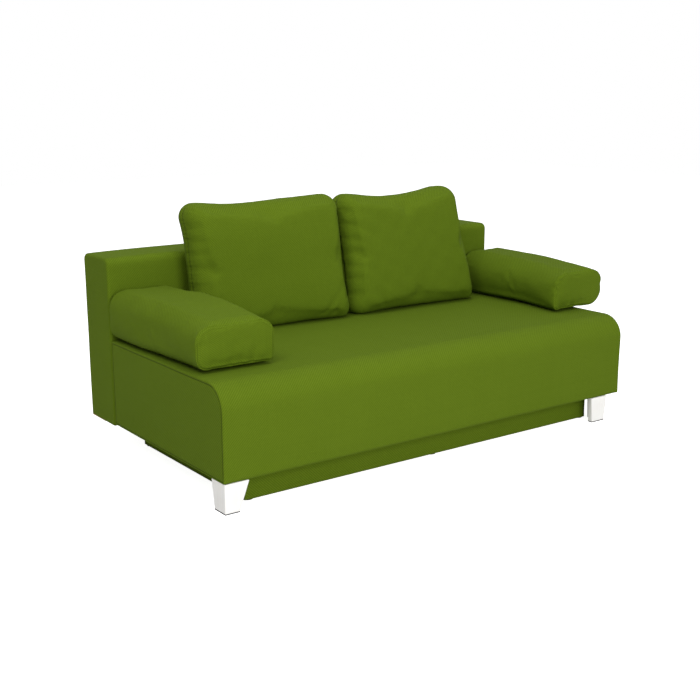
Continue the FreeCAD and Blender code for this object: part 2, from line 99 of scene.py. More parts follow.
class SofaCushionSettings(bpy.types.PropertyGroup):
    """Sizes of the loose cushions and bolsters."""

    thickness: length_value("Cushion thickness", "Thickness of a back cushion", 0.165)
    height: length_value("Cushion height", "Height of a back cushion", 0.516)
    edge: length_value("Cushion edge", "Rounding of a back cushion's edges", 0.060)
    tilt: bpy.props.FloatProperty(name="Tilt", description="Lean of the back cushions",
                                  default=math.radians(7.0), subtype="ANGLE")
    corner: length_value("Cushion corner", "Rounding of a cushion's corners", 0.056)
    cell: length_value("Cell", "Spacing of the surface points before subdivision", 0.0115)
    swell: length_value("Swell", "Furthest a point may move as the filling swells", 0.026)
    pressure: plain_value("Pressure", "Air pressure that stands for the filling", 4.0)
    bolster_edge: length_value("Bolster edge", "Rounding of a bolster along its length", 0.072)
    bolster_foot: length_value("Bolster foot", "Rounding of a bolster where it rests", 0.020)
    bolster_rim: length_value("Bolster rim", "Rounding of the left bolster's outer foot", 0.046)
    bolster_end: length_value("Bolster end", "Rounding of a bolster's end seams", 0.012)
    seam_lift: length_value("Seam lift", "Added to the seam distances to make them faint",
                            0.0006)
    rest_gap: length_value("Rest gap", "Gap left under what rests on the seat", 0.0006)


class SofaLegSettings(bpy.types.PropertyGroup):
    """Sizes of the two front legs."""

    board: length_value("Board", "Thickness of the boards", 0.022)
    left_foot: length_value("Left foot", "Width of the left leg at the floor", 0.056)
    right_foot: length_value("Right foot", "Width of the right leg at the floor", 0.072)
    foot_depth: length_value("Foot depth", "Depth of both legs at the floor", 0.071)
    right_taper: length_value("Right taper", "Lean of the right leg's outer face", 0.010)
    bevel: length_value("Bevel", "Width of the eased edges", 0.0022)


class SofaClothSettings(bpy.types.PropertyGroup):
    """Colours and scales of the finishes."""

    cloth: colour_value("Cloth", "Upholstery cloth", (0.108, 0.166, 0.0090))
    cloth_deep: colour_value("Deep cloth", "Upholstery cloth between its threads",
                             (0.068, 0.112, 0.0020))
    cloth_bloom: colour_value("Bloom", "Light fibres on the cloth", (0.24, 0.32, 0.055))
    thread: length_value("Thread", "Width of one thread of the twill", 0.0025)
    paint: colour_value("Paint", "Painted legs", (0.86, 0.85, 0.83))
    floor: colour_value("Floor", "Studio floor", (0.68, 0.68, 0.68))


class SofaStageSettings(bpy.types.PropertyGroup):
    """Camera and studio light."""

    camera_place: bpy.props.FloatVectorProperty(
        name="Camera place", description="Where the camera stands", size=3,
        default=(-2.6213, -3.4942, 1.3534), subtype="TRANSLATION", unit="LENGTH")
    camera_turn: bpy.props.FloatProperty(
        name="Camera turn", description="Turn of the view to the right of straight back",
        default=math.radians(36.053), subtype="ANGLE")
    camera_drop: bpy.props.FloatProperty(name="Camera drop", default=math.radians(13.28),
                                         description="How far the view looks down",
                                         subtype="ANGLE")
    lens: plain_value("Lens", "Focal length in millimetres", 57.04)
    sky: plain_value("Sky", "Light from all round", 0.57)


SETTINGS = {
    "sofa_body": SofaBodySettings,
    "sofa_cushions": SofaCushionSettings,
    "sofa_legs": SofaLegSettings,
    "sofa_cloth": SofaClothSettings,
    "sofa_stage": SofaStageSettings,
}


def settings(name):
    """One of the groups of settings that the scene holds."""
    return getattr(bpy.context.scene, name)


# --- surfaces ---

def ticks(low, high, step, ends):
    """Positions from low to high: fixed distances in from each end, and even steps between."""
    ends = np.asarray(ends, float)
    count = max(2, int(round((high - low - 2 * ends[-1]) / step)))
    middle = np.linspace(low + ends[-1], high - ends[-1], count + 1)
    return np.concatenate([low + ends[:-1], middle, high - ends[:-1][::-1]])


def quarter_discs(a, b, box, radii):
    """Round a rectangle's corners. In each corner square, p and q run from 0 to 1 outwards, and
    p' = p sqrt(1 - q^2 / 2), q' = q sqrt(1 - p^2 / 2) turn the square into a quarter disc."""
    a_low, a_high, b_low, b_high = box
    out_a, out_b = a.copy(), b.copy()
    corners = [(-1, -1), (1, -1), (1, 1), (-1, 1)]
    normal_a, normal_b = np.zeros_like(a), np.zeros_like(b)
    for (side_a, side_b), radius in zip(corners, radii):
        centre_a = a_low + radius if side_a < 0 else a_high - radius
        centre_b = b_low + radius if side_b < 0 else b_high - radius
        p = side_a * (a - centre_a) / radius
        q = side_b * (b - centre_b) / radius
        inside = (p > 0) & (q > 0)
        p, q = p[inside], q[inside]
        round_a, round_b = p * np.sqrt(1 - q * q / 2), q * np.sqrt(1 - p * p / 2)
        size = np.maximum(np.hypot(round_a, round_b), 1e-9)
        out_a[inside] = centre_a + side_a * radius * round_a
        out_b[inside] = centre_b + side_b * radius * round_b
        normal_a[inside] = side_a * round_a / size
        normal_b[inside] = side_b * round_b / size
    return out_a, out_b, normal_a, normal_b


def end_rings(low, high, step, inset, depth, count, power=1.0):
    """Where the rings of a closed form stand along its axis, t, and how far outside its inner
    outline, d. Each end is a quarter ellipse: t = end - depth (1 - sin f), d = inset cos f."""
    turn = np.linspace(0.0, math.pi / 2, count + 1)
    out = inset * np.cos(turn) ** power
    reach = depth * (1 - np.sin(turn))
    straight = high - low - 2 * depth
    steps = max(1, int(round(straight / step)))
    middle = np.linspace(low + depth, high - depth, steps + 1)[1:-1]
    place = np.concatenate([(low + reach)[::-1], middle, high - reach])
    off = np.concatenate([out[::-1], np.full(len(middle), inset), out])
    off[[0, -1]] = 0.0
    return place, off


def outline_depth(a, b, box, radii):
    """How far points lie inside a rounded rectangle: the least distance to a side, and in each
    corner square the radius less the distance from the corner's centre."""
    a_low, a_high, b_low, b_high = box
    depth = np.minimum(np.minimum(a - a_low, a_high - a), np.minimum(b - b_low, b_high - b))
    for (side_a, side_b), radius in zip([(-1, -1), (1, -1), (1, 1), (-1, 1)], radii):
        from_a = np.where(side_a < 0, (a_low + radius) - a, a - (a_high - radius))
        from_b = np.where(side_b < 0, (b_low + radius) - b, b - (b_high - radius))
        inside = (from_a > 0) & (from_b > 0)
        depth = np.where(inside, radius - np.hypot(from_a, from_b), depth)
    return depth


def carried_outline(a_line, b_line, radii, rings, seam_rings, seam_inset=None):
    """A closed form: a rounded outline carried along a third axis. Its side is a grid of the
    outline's points by the rings, each ring the inner outline moved out along its normal by d.
    Its ends are the outline's inside as a grid. seam is the distance along the surface from
    the nearer seam ring, or from a line set in on each end by the seam inset."""
    count_a, count_b = len(a_line) - 1, len(b_line) - 1
    grid_a, grid_b = np.meshgrid(a_line, b_line, indexing="ij")
    box = (a_line[0], a_line[-1], b_line[0], b_line[-1])
    flat_a, flat_b, normal_a, normal_b = quarter_discs(grid_a, grid_b, box, radii)
    axis_a = np.where(grid_a == box[0], -1.0, np.where(grid_a == box[1], 1.0, 0.0))
    axis_b = np.where(grid_b == box[2], -1.0, np.where(grid_b == box[3], 1.0, 0.0))
    straight = (normal_a == 0) & (normal_b == 0)
    normal_a = np.where(straight, axis_a, normal_a)
    normal_b = np.where(straight, axis_b, normal_b)

    run_a, run_b = np.arange(count_a), np.arange(count_b)
    loop_i = np.concatenate([run_a, np.full(count_b, count_a), count_a - run_a,
                             np.zeros(count_b, int)])
    loop_j = np.concatenate([np.zeros(count_a, int), run_b, np.full(count_a, count_b),
                             count_b - run_b])
    place, off = rings
    total, around = len(place), len(loop_i)
    base_a, base_b = flat_a[loop_i, loop_j], flat_b[loop_i, loop_j]
    out_a, out_b = normal_a[loop_i, loop_j], normal_b[loop_i, loop_j]
    side = np.stack([base_a + off[:, None] * out_a, base_b + off[:, None] * out_b,
                     np.repeat(place[:, None], around, 1)], -1).reshape(-1, 3)

    inner = np.s_[1:count_a, 1:count_b]
    end_size = (count_a - 1) * (count_b - 1)
    caps, cap_index = [], []
    for ring, t in ((0, place[0]), (total - 1, place[-1])):
        index = np.zeros((count_a + 1, count_b + 1), int)
        index[loop_i, loop_j] = ring * around + np.arange(around)
        first = total * around + len(caps) * end_size
        index[inner] = (first + np.arange(end_size)).reshape(count_a - 1, count_b - 1)
        caps.append(np.stack([flat_a[inner], flat_b[inner],
                              np.full((count_a - 1, count_b - 1), t)], -1).reshape(-1, 3))
        cap_index.append(index)
    co = np.concatenate([side] + caps)

    ring_id, loop_id = np.meshgrid(np.arange(total - 1), np.arange(around), indexing="ij")
    after = (loop_id + 1) % around
    side_faces = np.stack([ring_id * around + loop_id, ring_id * around + after,
                           (ring_id + 1) * around + after,
                           (ring_id + 1) * around + loop_id], -1).reshape(-1, 4)

    length = np.append(0.0, np.cumsum(np.hypot(*(np.roll(v, -1) - v for v in (
        base_a + off.max() * out_a, base_b + off.max() * out_b)))))
    across = np.append(0.0, np.cumsum(np.hypot(np.diff(place), np.diff(off))))
    side_uv = np.stack([
        np.stack([length[loop_id], across[ring_id]], -1),
        np.stack([length[loop_id + 1], across[ring_id]], -1),
        np.stack([length[loop_id + 1], across[ring_id + 1]], -1),
        np.stack([length[loop_id], across[ring_id + 1]], -1)], 2).reshape(-1, 4, 2)

    faces, uvs = [side_faces], [side_uv]
    for turn, index in ((1, cap_index[0]), (-1, cap_index[1])):
        quad = np.stack([index[:-1, :-1], index[:-1, 1:], index[1:, 1:], index[1:, :-1]],
                        -1).reshape(-1, 4)[:, ::turn]
        faces.append(quad)
        uvs.append(co[quad][:, :, :2])
    faces, uv = np.concatenate(faces), np.concatenate(uvs)

    edge = outline_depth(flat_a, flat_b, box, radii)[inner].reshape(-1)
    if seam_inset is None:
        seam = np.abs(across[:, None] - across[list(seam_rings)][None]).min(1)
        seam = np.concatenate([np.repeat(seam, around), edge + seam[0], edge + seam[-1]])
    else:
        seam = seam_inset + np.minimum(across, across[-1] - across)
        seam = np.concatenate([np.repeat(seam, around)] + [np.abs(edge - seam_inset)] * 2)
    return SimpleNamespace(co=co, faces=faces, uv=uv, seam=seam)


def outward(co, faces):
    """The faces turned so that they point out: the enclosed volume, a sum of tetrahedra from
    the origin, comes out positive."""
    p = co[faces]
    volume = (np.einsum("ij,ij->i", p[:, 0], np.cross(p[:, 1], p[:, 2]))
              + np.einsum("ij,ij->i", p[:, 0], np.cross(p[:, 2], p[:, 3]))).sum()
    return 1 if volume > 0 else -1


def point_normals(co, faces):
    """Unit normals at the points: the sum of the cross products of each face's diagonals."""
    p = co[faces]
    cross = np.cross(p[:, 2] - p[:, 0], p[:, 3] - p[:, 1])
    total = np.zeros_like(co)
    for corner in range(4):
        np.add.at(total, faces[:, corner], cross)
    size = np.linalg.norm(total, axis=1, keepdims=True)
    return total / np.maximum(size, 1e-12)


def step_up(value, low, high):
    """0 below low, 1 above high, and 3 s^2 - 2 s^3 between."""
    s = np.clip((value - low) / (high - low), 0.0, 1.0)
    return s * s * (3 - 2 * s)


def pressed_above(value, limit, softness):
    """Softly keep a coordinate at or above a limit: limit + w ln(1 + exp((v - limit) / w))."""
    return limit + softness * np.logaddexp(0.0, (value - limit) / softness)


def waves(co, size, seed):
    """A sum of seven sine waves in random directions, between about -1 and 1."""
    rng = np.random.default_rng(seed)
    direction = rng.normal(size=(7, 3))
    direction /= np.linalg.norm(direction, axis=1, keepdims=True)
    pitch = 2 * math.pi / (size * rng.uniform(0.7, 1.6, 7))
    phase = rng.uniform(0, 2 * math.pi, 7)
    return np.sin(co @ (direction * pitch[:, None]).T + phase).sum(1) / 3.5


def seam_profile(distance, width, depth, lip):
    """The height of cloth by a seam: a dip -depth exp(-(d/w)^2), and a lip beside it."""
    dip = -depth * np.exp(-(distance / width) ** 2)
    return dip + lip * np.exp(-((distance - 2.4 * width) / width) ** 2)


def folds(along, away, spots, width, reach, slant):
    """Short folds that start at a seam. Each is exp(-((s - spot - slant d) / w)^2) across,
    and fades along its own reach. spots, width, reach and slant are one value per fold."""
    spots, width, reach, slant = (np.asarray(v, float)[None] for v in (spots, width, reach, slant))
    d = np.maximum(away, 0.0)[:, None]
    across = np.exp(-((along[:, None] - spots - slant * d) / (width * (1 + 0.8 * d / reach))) ** 2)
    return (across * np.exp(-(d / reach) ** 2) * step_up(d, 0.0, 0.006)).sum(1)


def mesh_piece(name, co, faces, uv=None, **marks):
    """A new smooth piece from points and faces, with its cloth map and its named point marks."""
    mesh = bpy.data.meshes.new(name)
    mesh.from_pydata(co.tolist(), [], faces.tolist())
    mesh.polygons.foreach_set("use_smooth", np.ones(len(faces), bool))
    if uv is not None:
        layer = mesh.uv_layers.new(name="cloth")
        layer.uv.foreach_set("vector", uv.reshape(-1).astype(np.float32))
    for label, values in marks.items():
        mark = mesh.attributes.new(label, "FLOAT", "POINT")
        mark.data.foreach_set("value", values.astype(np.float32))
    mesh.validate()
    piece = bpy.data.objects.new(name, mesh)
    bpy.context.scene.collection.objects.link(piece)
    return piece


def read_points(mesh):
    """A mesh's points as rows of x, y, z."""
    co = np.zeros(len(mesh.vertices) * 3, np.float32)
    mesh.vertices.foreach_get("co", co)
    return co.reshape(-1, 3).astype(float)


# --- node groups and materials ---

def group_tree(name, inputs, outputs):
    """A new shader node group with named sockets, (name, kind, default) for each input."""
    tree = bpy.data.node_groups.new(name, "ShaderNodeTree")
    for label, kind, value in inputs:
        socket = tree.interface.new_socket(name=label, in_out="INPUT", socket_type=kind)
        if value is not None:
            socket.default_value = value
    for label, kind in outputs:
        tree.interface.new_socket(name=label, in_out="OUTPUT", socket_type=kind)
    return tree, tree.nodes.new("NodeGroupInput"), tree.nodes.new("NodeGroupOutput")


def feed(tree, socket, value):
    """Link a socket to another, or set it to a number."""
    if isinstance(value, bpy.types.NodeSocket):
        tree.links.new(value, socket)
    elif value is not None:
        socket.default_value = value


def calc(tree, operation, *values):
    """A Math node's result."""
    node = tree.nodes.new("ShaderNodeMath")
    node.operation = operation
    for socket, value in zip(node.inputs, values):
        feed(tree, socket, value)
    return node.outputs[0]


def noise(tree, vector, scale, detail=2.0, roughness=0.5):
    """A Noise Texture's value."""
    node = tree.nodes.new("ShaderNodeTexNoise")
    feed(tree, node.inputs["Vector"], vector)
    feed(tree, node.inputs["Scale"], scale)
    node.inputs["Detail"].default_value = detail
    node.inputs["Roughness"].default_value = roughness
    return node.outputs["Fac"]


def random_at(tree, value):
    """A White Noise value for a number."""
    node = tree.nodes.new("ShaderNodeTexWhiteNoise")
    node.noise_dimensions = "1D"
    feed(tree, node.inputs["W"], value)
    return node.outputs["Value"]


def mixed(tree, factor, first, second):
    """Two colours mixed."""
    node = tree.nodes.new("ShaderNodeMix")
    node.data_type = "RGBA"
    feed(tree, node.inputs[0], factor)
    feed(tree, node.inputs[6], first)
    feed(tree, node.inputs[7], second)
    return node.outputs[2]


def remap(tree, value, low, high, to_low=0.0, to_high=1.0):
    """A value stretched from one range to another, kept in the new range."""
    node = tree.nodes.new("ShaderNodeMapRange")
    feed(tree, node.inputs["Value"], value)
    node.inputs["From Min"].default_value = low
    node.inputs["From Max"].default_value = high
    node.inputs["To Min"].default_value = to_low
    node.inputs["To Max"].default_value = to_high
    return node.outputs["Result"]


def stretched(tree, vector, factors):
    """A vector with each part multiplied."""
    node = tree.nodes.new("ShaderNodeVectorMath")
    node.operation = "MULTIPLY"
    feed(tree, node.inputs[0], vector)
    feed(tree, node.inputs[1], factors)
    return node.outputs[0]


def twill_group():
    """Two-and-two twill. With thread numbers i, j = floor(u / w), floor(v / w), the warp is on
    top where (i + j) mod 4 < 2. Height is the arch of the top thread, sin(pi frac)."""
    tree, source, result = group_tree(
        "Twill weave",
        [("Vector", "NodeSocketVector", None), ("Thread", "NodeSocketFloat", 0.0025)],
        [("Height", "NodeSocketFloat"), ("Tone", "NodeSocketFloat"), ("Gap", "NodeSocketFloat")])
    parts = tree.nodes.new("ShaderNodeSeparateXYZ")
    feed(tree, parts.inputs[0], source.outputs["Vector"])
    wander = noise(tree, source.outputs["Vector"], 60.0, 1.0)
    wander = calc(tree, "MULTIPLY", calc(tree, "SUBTRACT", wander, 0.5), 0.5)
    cells = []
    for axis in (0, 1):
        scaled = calc(tree, "DIVIDE", parts.outputs[axis], source.outputs["Thread"])
        cells.append(calc(tree, "ADD", scaled, wander))
    whole = [calc(tree, "FLOOR", c) for c in cells]
    arch = [calc(tree, "POWER", calc(tree, "SINE", calc(
        tree, "MULTIPLY", calc(tree, "FRACT", c), math.pi)), 0.6) for c in cells]
    turn = calc(tree, "FLOORED_MODULO", calc(tree, "ADD", whole[0], whole[1]), 4.0)
    over = calc(tree, "LESS_THAN", turn, 2.0)
    under = calc(tree, "SUBTRACT", 1.0, over)
    height = calc(tree, "ADD", calc(tree, "MULTIPLY", over, arch[0]),
                  calc(tree, "MULTIPLY", under, arch[1]))
    tones = [random_at(tree, calc(tree, "ADD", w, k)) for w, k in zip(whole, (0.5, 907.5))]
    tone = calc(tree, "ADD", calc(tree, "MULTIPLY", over, tones[0]),
                calc(tree, "MULTIPLY", under, tones[1]))
    feed(tree, result.inputs["Height"], calc(
        tree, "ADD", calc(tree, "MULTIPLY", height, 0.8), calc(tree, "MULTIPLY", over, 0.2)))
    feed(tree, result.inputs["Tone"], calc(
        tree, "ADD", calc(tree, "MULTIPLY", tone, 0.16), calc(tree, "MULTIPLY", over, 0.84)))
    feed(tree, result.inputs["Gap"], calc(tree, "SUBTRACT", 1.0, height))
    return tree


def cloth_variation_group():
    """Slow changes of tone: soft patches, fine flecks and stray light fibres."""
    tree, source, result = group_tree(
        "Cloth variation", [("Vector", "NodeSocketVector", None)],
        [("Patch", "NodeSocketFloat"), ("Fleck", "NodeSocketFloat"), ("Fibre", "NodeSocketFloat")])
    vector = source.outputs["Vector"]
    feed(tree, result.inputs["Patch"], remap(tree, noise(tree, vector, 7.0, 3.0), 0.3, 0.7))
    feed(tree, result.inputs["Fleck"], remap(tree, noise(tree, vector, 420.0, 2.0), 0.3, 0.7))
    fibre = noise(tree, stretched(tree, vector, (900.0, 160.0, 400.0)), 1.0, 2.0)
    feed(tree, result.inputs["Fibre"], remap(tree, fibre, 0.6, 0.78))
    return tree


def seam_group():
    """A sewn seam from its distance d: a line of painted shade where d is small, stitched shut,
    with the cloth pulled in on both sides. Line is 1 on the seam and masks the painted shade,
    Dip is the depth of the pull."""
    tree, source, result = group_tree(
        "Sewn seam", [("Distance", "NodeSocketFloat", 1.0), ("Width", "NodeSocketFloat", 0.001)],
        [("Line", "NodeSocketFloat"), ("Dip", "NodeSocketFloat")])
    ratio = calc(tree, "DIVIDE", source.outputs["Distance"], source.outputs["Width"])
    square = calc(tree, "MULTIPLY", ratio, ratio)
    line = calc(tree, "EXPONENT", calc(tree, "MULTIPLY", square, -1.0))
    wide = calc(tree, "EXPONENT", calc(tree, "MULTIPLY", ratio, -0.35))
    feed(tree, result.inputs["Line"], line)
    feed(tree, result.inputs["Dip"], calc(tree, "ADD", calc(tree, "MULTIPLY", line, 0.6),
                                          calc(tree, "MULTIPLY", wide, 0.4)))
    return tree


def grain_group():
    """Wood grain along X: rings of stretched noise, with fine pores."""
    tree, source, result = group_tree(
        "Wood grain", [("Vector", "NodeSocketVector", None), ("Scale", "NodeSocketFloat", 1.0)],
        [("Bands", "NodeSocketFloat"), ("Pores", "NodeSocketFloat")])
    node = tree.nodes.new("ShaderNodeVectorMath")
    node.operation = "SCALE"
    feed(tree, node.inputs[0], source.outputs["Vector"])
    feed(tree, node.inputs["Scale"], source.outputs["Scale"])
    slow = noise(tree, stretched(tree, node.outputs[0], (1.5, 22.0, 22.0)), 1.0, 3.0)
    rings = calc(tree, "SINE", calc(tree, "MULTIPLY", slow, 42.0))
    feed(tree, result.inputs["Bands"], remap(tree, rings, -1.0, 1.0))
    pores = noise(tree, stretched(tree, node.outputs[0], (40.0, 900.0, 900.0)), 1.0, 2.0)
    feed(tree, result.inputs["Pores"], remap(tree, pores, 0.55, 0.75))
    return tree


def wear_group():
    """Fine uneven marks for metal, plastic and paint: smudges and small scratches."""
    tree, source, result = group_tree(
        "Light wear", [("Vector", "NodeSocketVector", None)],
        [("Smudge", "NodeSocketFloat"), ("Scratch", "NodeSocketFloat")])
    vector = source.outputs["Vector"]
    feed(tree, result.inputs["Smudge"], remap(tree, noise(tree, vector, 24.0, 4.0), 0.35, 0.7))
    fine = noise(tree, stretched(tree, vector, (30.0, 700.0, 900.0)), 1.0, 3.0)
    feed(tree, result.inputs["Scratch"], remap(tree, fine, 0.52, 0.72))
    return tree


GROUP_MAKERS = {
    "Twill weave": twill_group,
    "Cloth variation": cloth_variation_group,
    "Sewn seam": seam_group,
    "Wood grain": grain_group,
    "Light wear": wear_group,
}


def placed_group(tree, name, **values):
    """A shared node group placed in a material, made the first time that it is asked for."""
    shared = bpy.data.node_groups.get(name) or GROUP_MAKERS[name]()
    node = tree.nodes.new("ShaderNodeGroup")
    node.node_tree = shared
    for label, value in values.items():
        feed(tree, node.inputs[label], value)
    return node.outputs


def new_material(name, roughness, metallic=0.0, sheen=0.0):
    """A material with a Principled shader, and its node tree, shader and coordinates."""
    material = bpy.data.materials.new(name)
    material.use_nodes = True
    tree = material.node_tree
    shader = tree.nodes["Principled BSDF"]
    shader.inputs["Roughness"].default_value = roughness
    shader.inputs["Metallic"].default_value = metallic
    shader.inputs["Sheen Weight"].default_value = sheen
    coords = tree.nodes.new("ShaderNodeTexCoord")
    return material, tree, shader, coords.outputs["Object"]


def bump(tree, shader, height, strength, distance):
    """Feed a height into the shader's normal."""
    node = tree.nodes.new("ShaderNodeBump")
    node.inputs["Strength"].default_value = strength
    node.inputs["Distance"].default_value = distance
    feed(tree, node.inputs["Height"], height)
    feed(tree, shader.inputs["Normal"], node.outputs["Normal"])


def rgba(colour):
    """A colour with full alpha."""
    return tuple(colour) + (1.0,)


def make_cloth(name, seam_width):
    """Green twill with mottled threads, a soft bloom of fibres and pulled-in seams,
    with painted shade in the seams' grooves.
    """
    colours = settings("sofa_cloth")
    material, tree, shader, place = new_material(name, 0.92, sheen=0.025)
    shader.inputs["Sheen Roughness"].default_value = 0.45
    shader.inputs["Sheen Tint"].default_value = rgba(colours.cloth_bloom)
    shader.inputs["Specular IOR Level"].default_value = 0.09
    cloth_map = tree.nodes.new("ShaderNodeUVMap")
    cloth_map.uv_map = "cloth"
    weave = placed_group(tree, "Twill weave", Vector=cloth_map.outputs["UV"], Thread=colours.thread)
    vary = placed_group(tree, "Cloth variation", Vector=place)
    mark = tree.nodes.new("ShaderNodeAttribute")
    mark.attribute_name = "seam"
    seam = placed_group(tree, "Sewn seam", Distance=mark.outputs["Fac"], Width=seam_width)
    tone = calc(tree, "ADD", calc(tree, "MULTIPLY", weave["Tone"], 0.60),
                calc(tree, "ADD", calc(tree, "MULTIPLY", vary["Fleck"], 0.34),
                     calc(tree, "MULTIPLY", vary["Patch"], 0.06)))
    tone = calc(tree, "SUBTRACT", tone, calc(tree, "MULTIPLY", weave["Gap"], 0.25))
    body = mixed(tree, remap(tree, tone, 0.05, 0.8), rgba(colours.cloth_deep), rgba(colours.cloth))
    fibre = calc(tree, "MULTIPLY", vary["Fibre"], 0.12)
    body = mixed(tree, fibre, body, rgba(colours.cloth_bloom))
    # painted shade: the seam line is darkened to stand for the shadow in the seam's groove
    dark = tuple(0.25 * c for c in colours.cloth_deep) + (1.0,)
    body = mixed(tree, calc(tree, "MULTIPLY", seam["Line"], 0.85), body, dark)
    feed(tree, shader.inputs["Base Color"], body)
    height = calc(tree, "ADD", weave["Height"], calc(tree, "MULTIPLY", vary["Fleck"], 0.5))
    height = calc(tree, "SUBTRACT", height, calc(tree, "MULTIPLY", seam["Dip"], 2.0))
    pull = tree.nodes.new("ShaderNodeAttribute")
    pull.attribute_name = "gather"
    creases = noise(tree, stretched(tree, cloth_map.outputs["UV"], (75.0, 9.0, 1.0)), 1.0, 1.5)
    creases = remap(tree, creases, 0.3, 0.7)
    height = calc(tree, "ADD", height, calc(
        tree, "MULTIPLY", creases, calc(tree, "MULTIPLY", pull.outputs["Fac"], 9.0)))
    bump(tree, shader, height, 0.55, 0.0007)
    return material


def make_paint(name, colour):
    """White paint over wood: the grain and a brush's drag show faintly, with light smudges."""
    material, tree, shader, place = new_material(name, 0.38)
    upright = tree.nodes.new("ShaderNodeMapping")
    upright.inputs["Rotation"].default_value = (0.0, math.pi / 2, 0.0)
    feed(tree, upright.inputs["Vector"], place)
    grain = placed_group(tree, "Wood grain", Vector=upright.outputs[0], Scale=1.6)
    wear = placed_group(tree, "Light wear", Vector=upright.outputs[0])
    warm = (colour[0] * 0.9, colour[1] * 0.86, colour[2] * 0.8, 1.0)
    shade = calc(tree, "ADD", calc(tree, "MULTIPLY", grain["Bands"], 0.12),
                 calc(tree, "MULTIPLY", wear["Smudge"], 0.18))
    feed(tree, shader.inputs["Base Color"], mixed(tree, shade, rgba(colour), warm))
    feed(tree, shader.inputs["Roughness"], remap(tree, wear["Smudge"], 0.0, 1.0, 0.34, 0.48))
    height = calc(tree, "ADD", calc(tree, "MULTIPLY", grain["Bands"], 0.5), wear["Scratch"])
    bump(tree, shader, height, 0.12, 0.0004)
    return material


def make_wood(name, light, dark, roughness, scale=1.0):
    """Plain sawn timber or board: bands of grain with fine pores."""
    material, tree, shader, place = new_material(name, roughness)
    grain = placed_group(tree, "Wood grain", Vector=place, Scale=scale)
    wear = placed_group(tree, "Light wear", Vector=place)
    amount = calc(tree, "ADD", calc(tree, "MULTIPLY", grain["Bands"], 0.55),
                  calc(tree, "MULTIPLY", wear["Smudge"], 0.25))
    body = mixed(tree, amount, rgba(light), rgba(dark))
    pores = tuple(0.5 * c for c in dark) + (1.0,)
    body = mixed(tree, calc(tree, "MULTIPLY", grain["Pores"], 0.5), body, pores)
    feed(tree, shader.inputs["Base Color"], body)
    height = calc(tree, "SUBTRACT", calc(tree, "MULTIPLY", grain["Bands"], 0.4), grain["Pores"])
    bump(tree, shader, height, 0.3, 0.0005)
    return material


def make_board(name, light, dark):
    """Pressed board: matted flecks with no grain."""
    material, tree, shader, place = new_material(name, 0.75)
    flecks = remap(tree, noise(tree, place, 380.0, 4.0), 0.3, 0.7)
    wear = placed_group(tree, "Light wear", Vector=place)
    amount = calc(tree, "ADD", calc(tree, "MULTIPLY", flecks, 0.7),
                  calc(tree, "MULTIPLY", wear["Smudge"], 0.3))
    feed(tree, shader.inputs["Base Color"], mixed(tree, amount, rgba(light), rgba(dark)))
    bump(tree, shader, flecks, 0.25, 0.0004)
    return material


def make_steel(name, light, dark, roughness):
    """Drawn steel with fine lines and a cloudy plated skin."""
    material, tree, shader, place = new_material(name, roughness, metallic=1.0)
    wear = placed_group(tree, "Light wear", Vector=place)
    cloud = remap(tree, noise(tree, place, 90.0, 3.0), 0.35, 0.65)
    amount = calc(tree, "ADD", calc(tree, "MULTIPLY", cloud, 0.4),
                  calc(tree, "MULTIPLY", wear["Smudge"], 0.5))
    feed(tree, shader.inputs["Base Color"], mixed(tree, amount, rgba(light), rgba(dark)))
    feed(tree, shader.inputs["Roughness"], remap(
        tree, wear["Scratch"], 0.0, 1.0, roughness - 0.08, roughness + 0.14))
    bump(tree, shader, wear["Scratch"], 0.1, 0.0002)
    return material


def make_plastic(name, light, dark, roughness):
    """Moulded plastic with a fine spark texture."""
    material, tree, shader, place = new_material(name, roughness)
    spark = remap(tree, noise(tree, place, 1400.0, 1.0), 0.35, 0.65)
    wear = placed_group(tree, "Light wear", Vector=place)
    feed(tree, shader.inputs["Base Color"], mixed(tree, wear["Smudge"], rgba(dark), rgba(light)))
    bump(tree, shader, calc(tree, "ADD", spark, wear["Scratch"]), 0.15, 0.0002)
    return material


def make_matted(name, light, dark, cell, strength):
    """Foam, felt or thin lining: a matted or cellular surface."""
    material, tree, shader, place = new_material(name, 0.95, sheen=0.1)
    pits = noise(tree, place, 1.0 / cell, 3.0, 0.6)
    vary = placed_group(tree, "Cloth variation", Vector=place)
    amount = calc(tree, "ADD", calc(tree, "MULTIPLY", remap(tree, pits, 0.3, 0.7), 0.6),
                  calc(tree, "MULTIPLY", vary["Patch"], 0.4))
    feed(tree, shader.inputs["Base Color"], mixed(tree, amount, rgba(dark), rgba(light)))
    bump(tree, shader, pits, strength, 0.001)
    return material


FINISH_MAKERS = {
    "upholstery": lambda: make_cloth("Green twill", 0.0015),
    "leg_paint": lambda: make_paint("White painted wood", settings("sofa_cloth").paint),
    "timber": lambda: make_wood("Pine frame", (0.62, 0.43, 0.24), (0.42, 0.26, 0.12), 0.6),
    "hardboard": lambda: make_board("Brown hardboard", (0.30, 0.18, 0.09), (0.17, 0.09, 0.04)),
    "zinc_steel": lambda: make_steel("Zinc plate", (0.62, 0.63, 0.64), (0.42, 0.43, 0.45), 0.36),
    "fastener_steel": lambda: make_steel("Bright fasteners", (0.55, 0.55, 0.54),
                                         (0.33, 0.32, 0.31), 0.3),
    "glide_plastic": lambda: make_plastic("Black nylon", (0.035, 0.035, 0.036),
                                          (0.016, 0.016, 0.017), 0.5),
    "foam": lambda: make_matted("Cut foam", (0.82, 0.76, 0.55), (0.62, 0.55, 0.36), 0.002, 0.5),
    "felt": lambda: make_matted("Grey felt", (0.36, 0.36, 0.35), (0.2, 0.2, 0.2), 0.004, 0.4),
    "lining": lambda: make_matted("Black lining", (0.05, 0.05, 0.05), (0.02, 0.02, 0.02),
                                  0.0012, 0.3),
}


def finish(slot):
    """The material for one of the record's material slots, made the first time."""
    for material in bpy.data.materials:
        if material.get("finish") == slot:
            return material
    material = FINISH_MAKERS[slot]()
    material["finish"] = slot
    return material


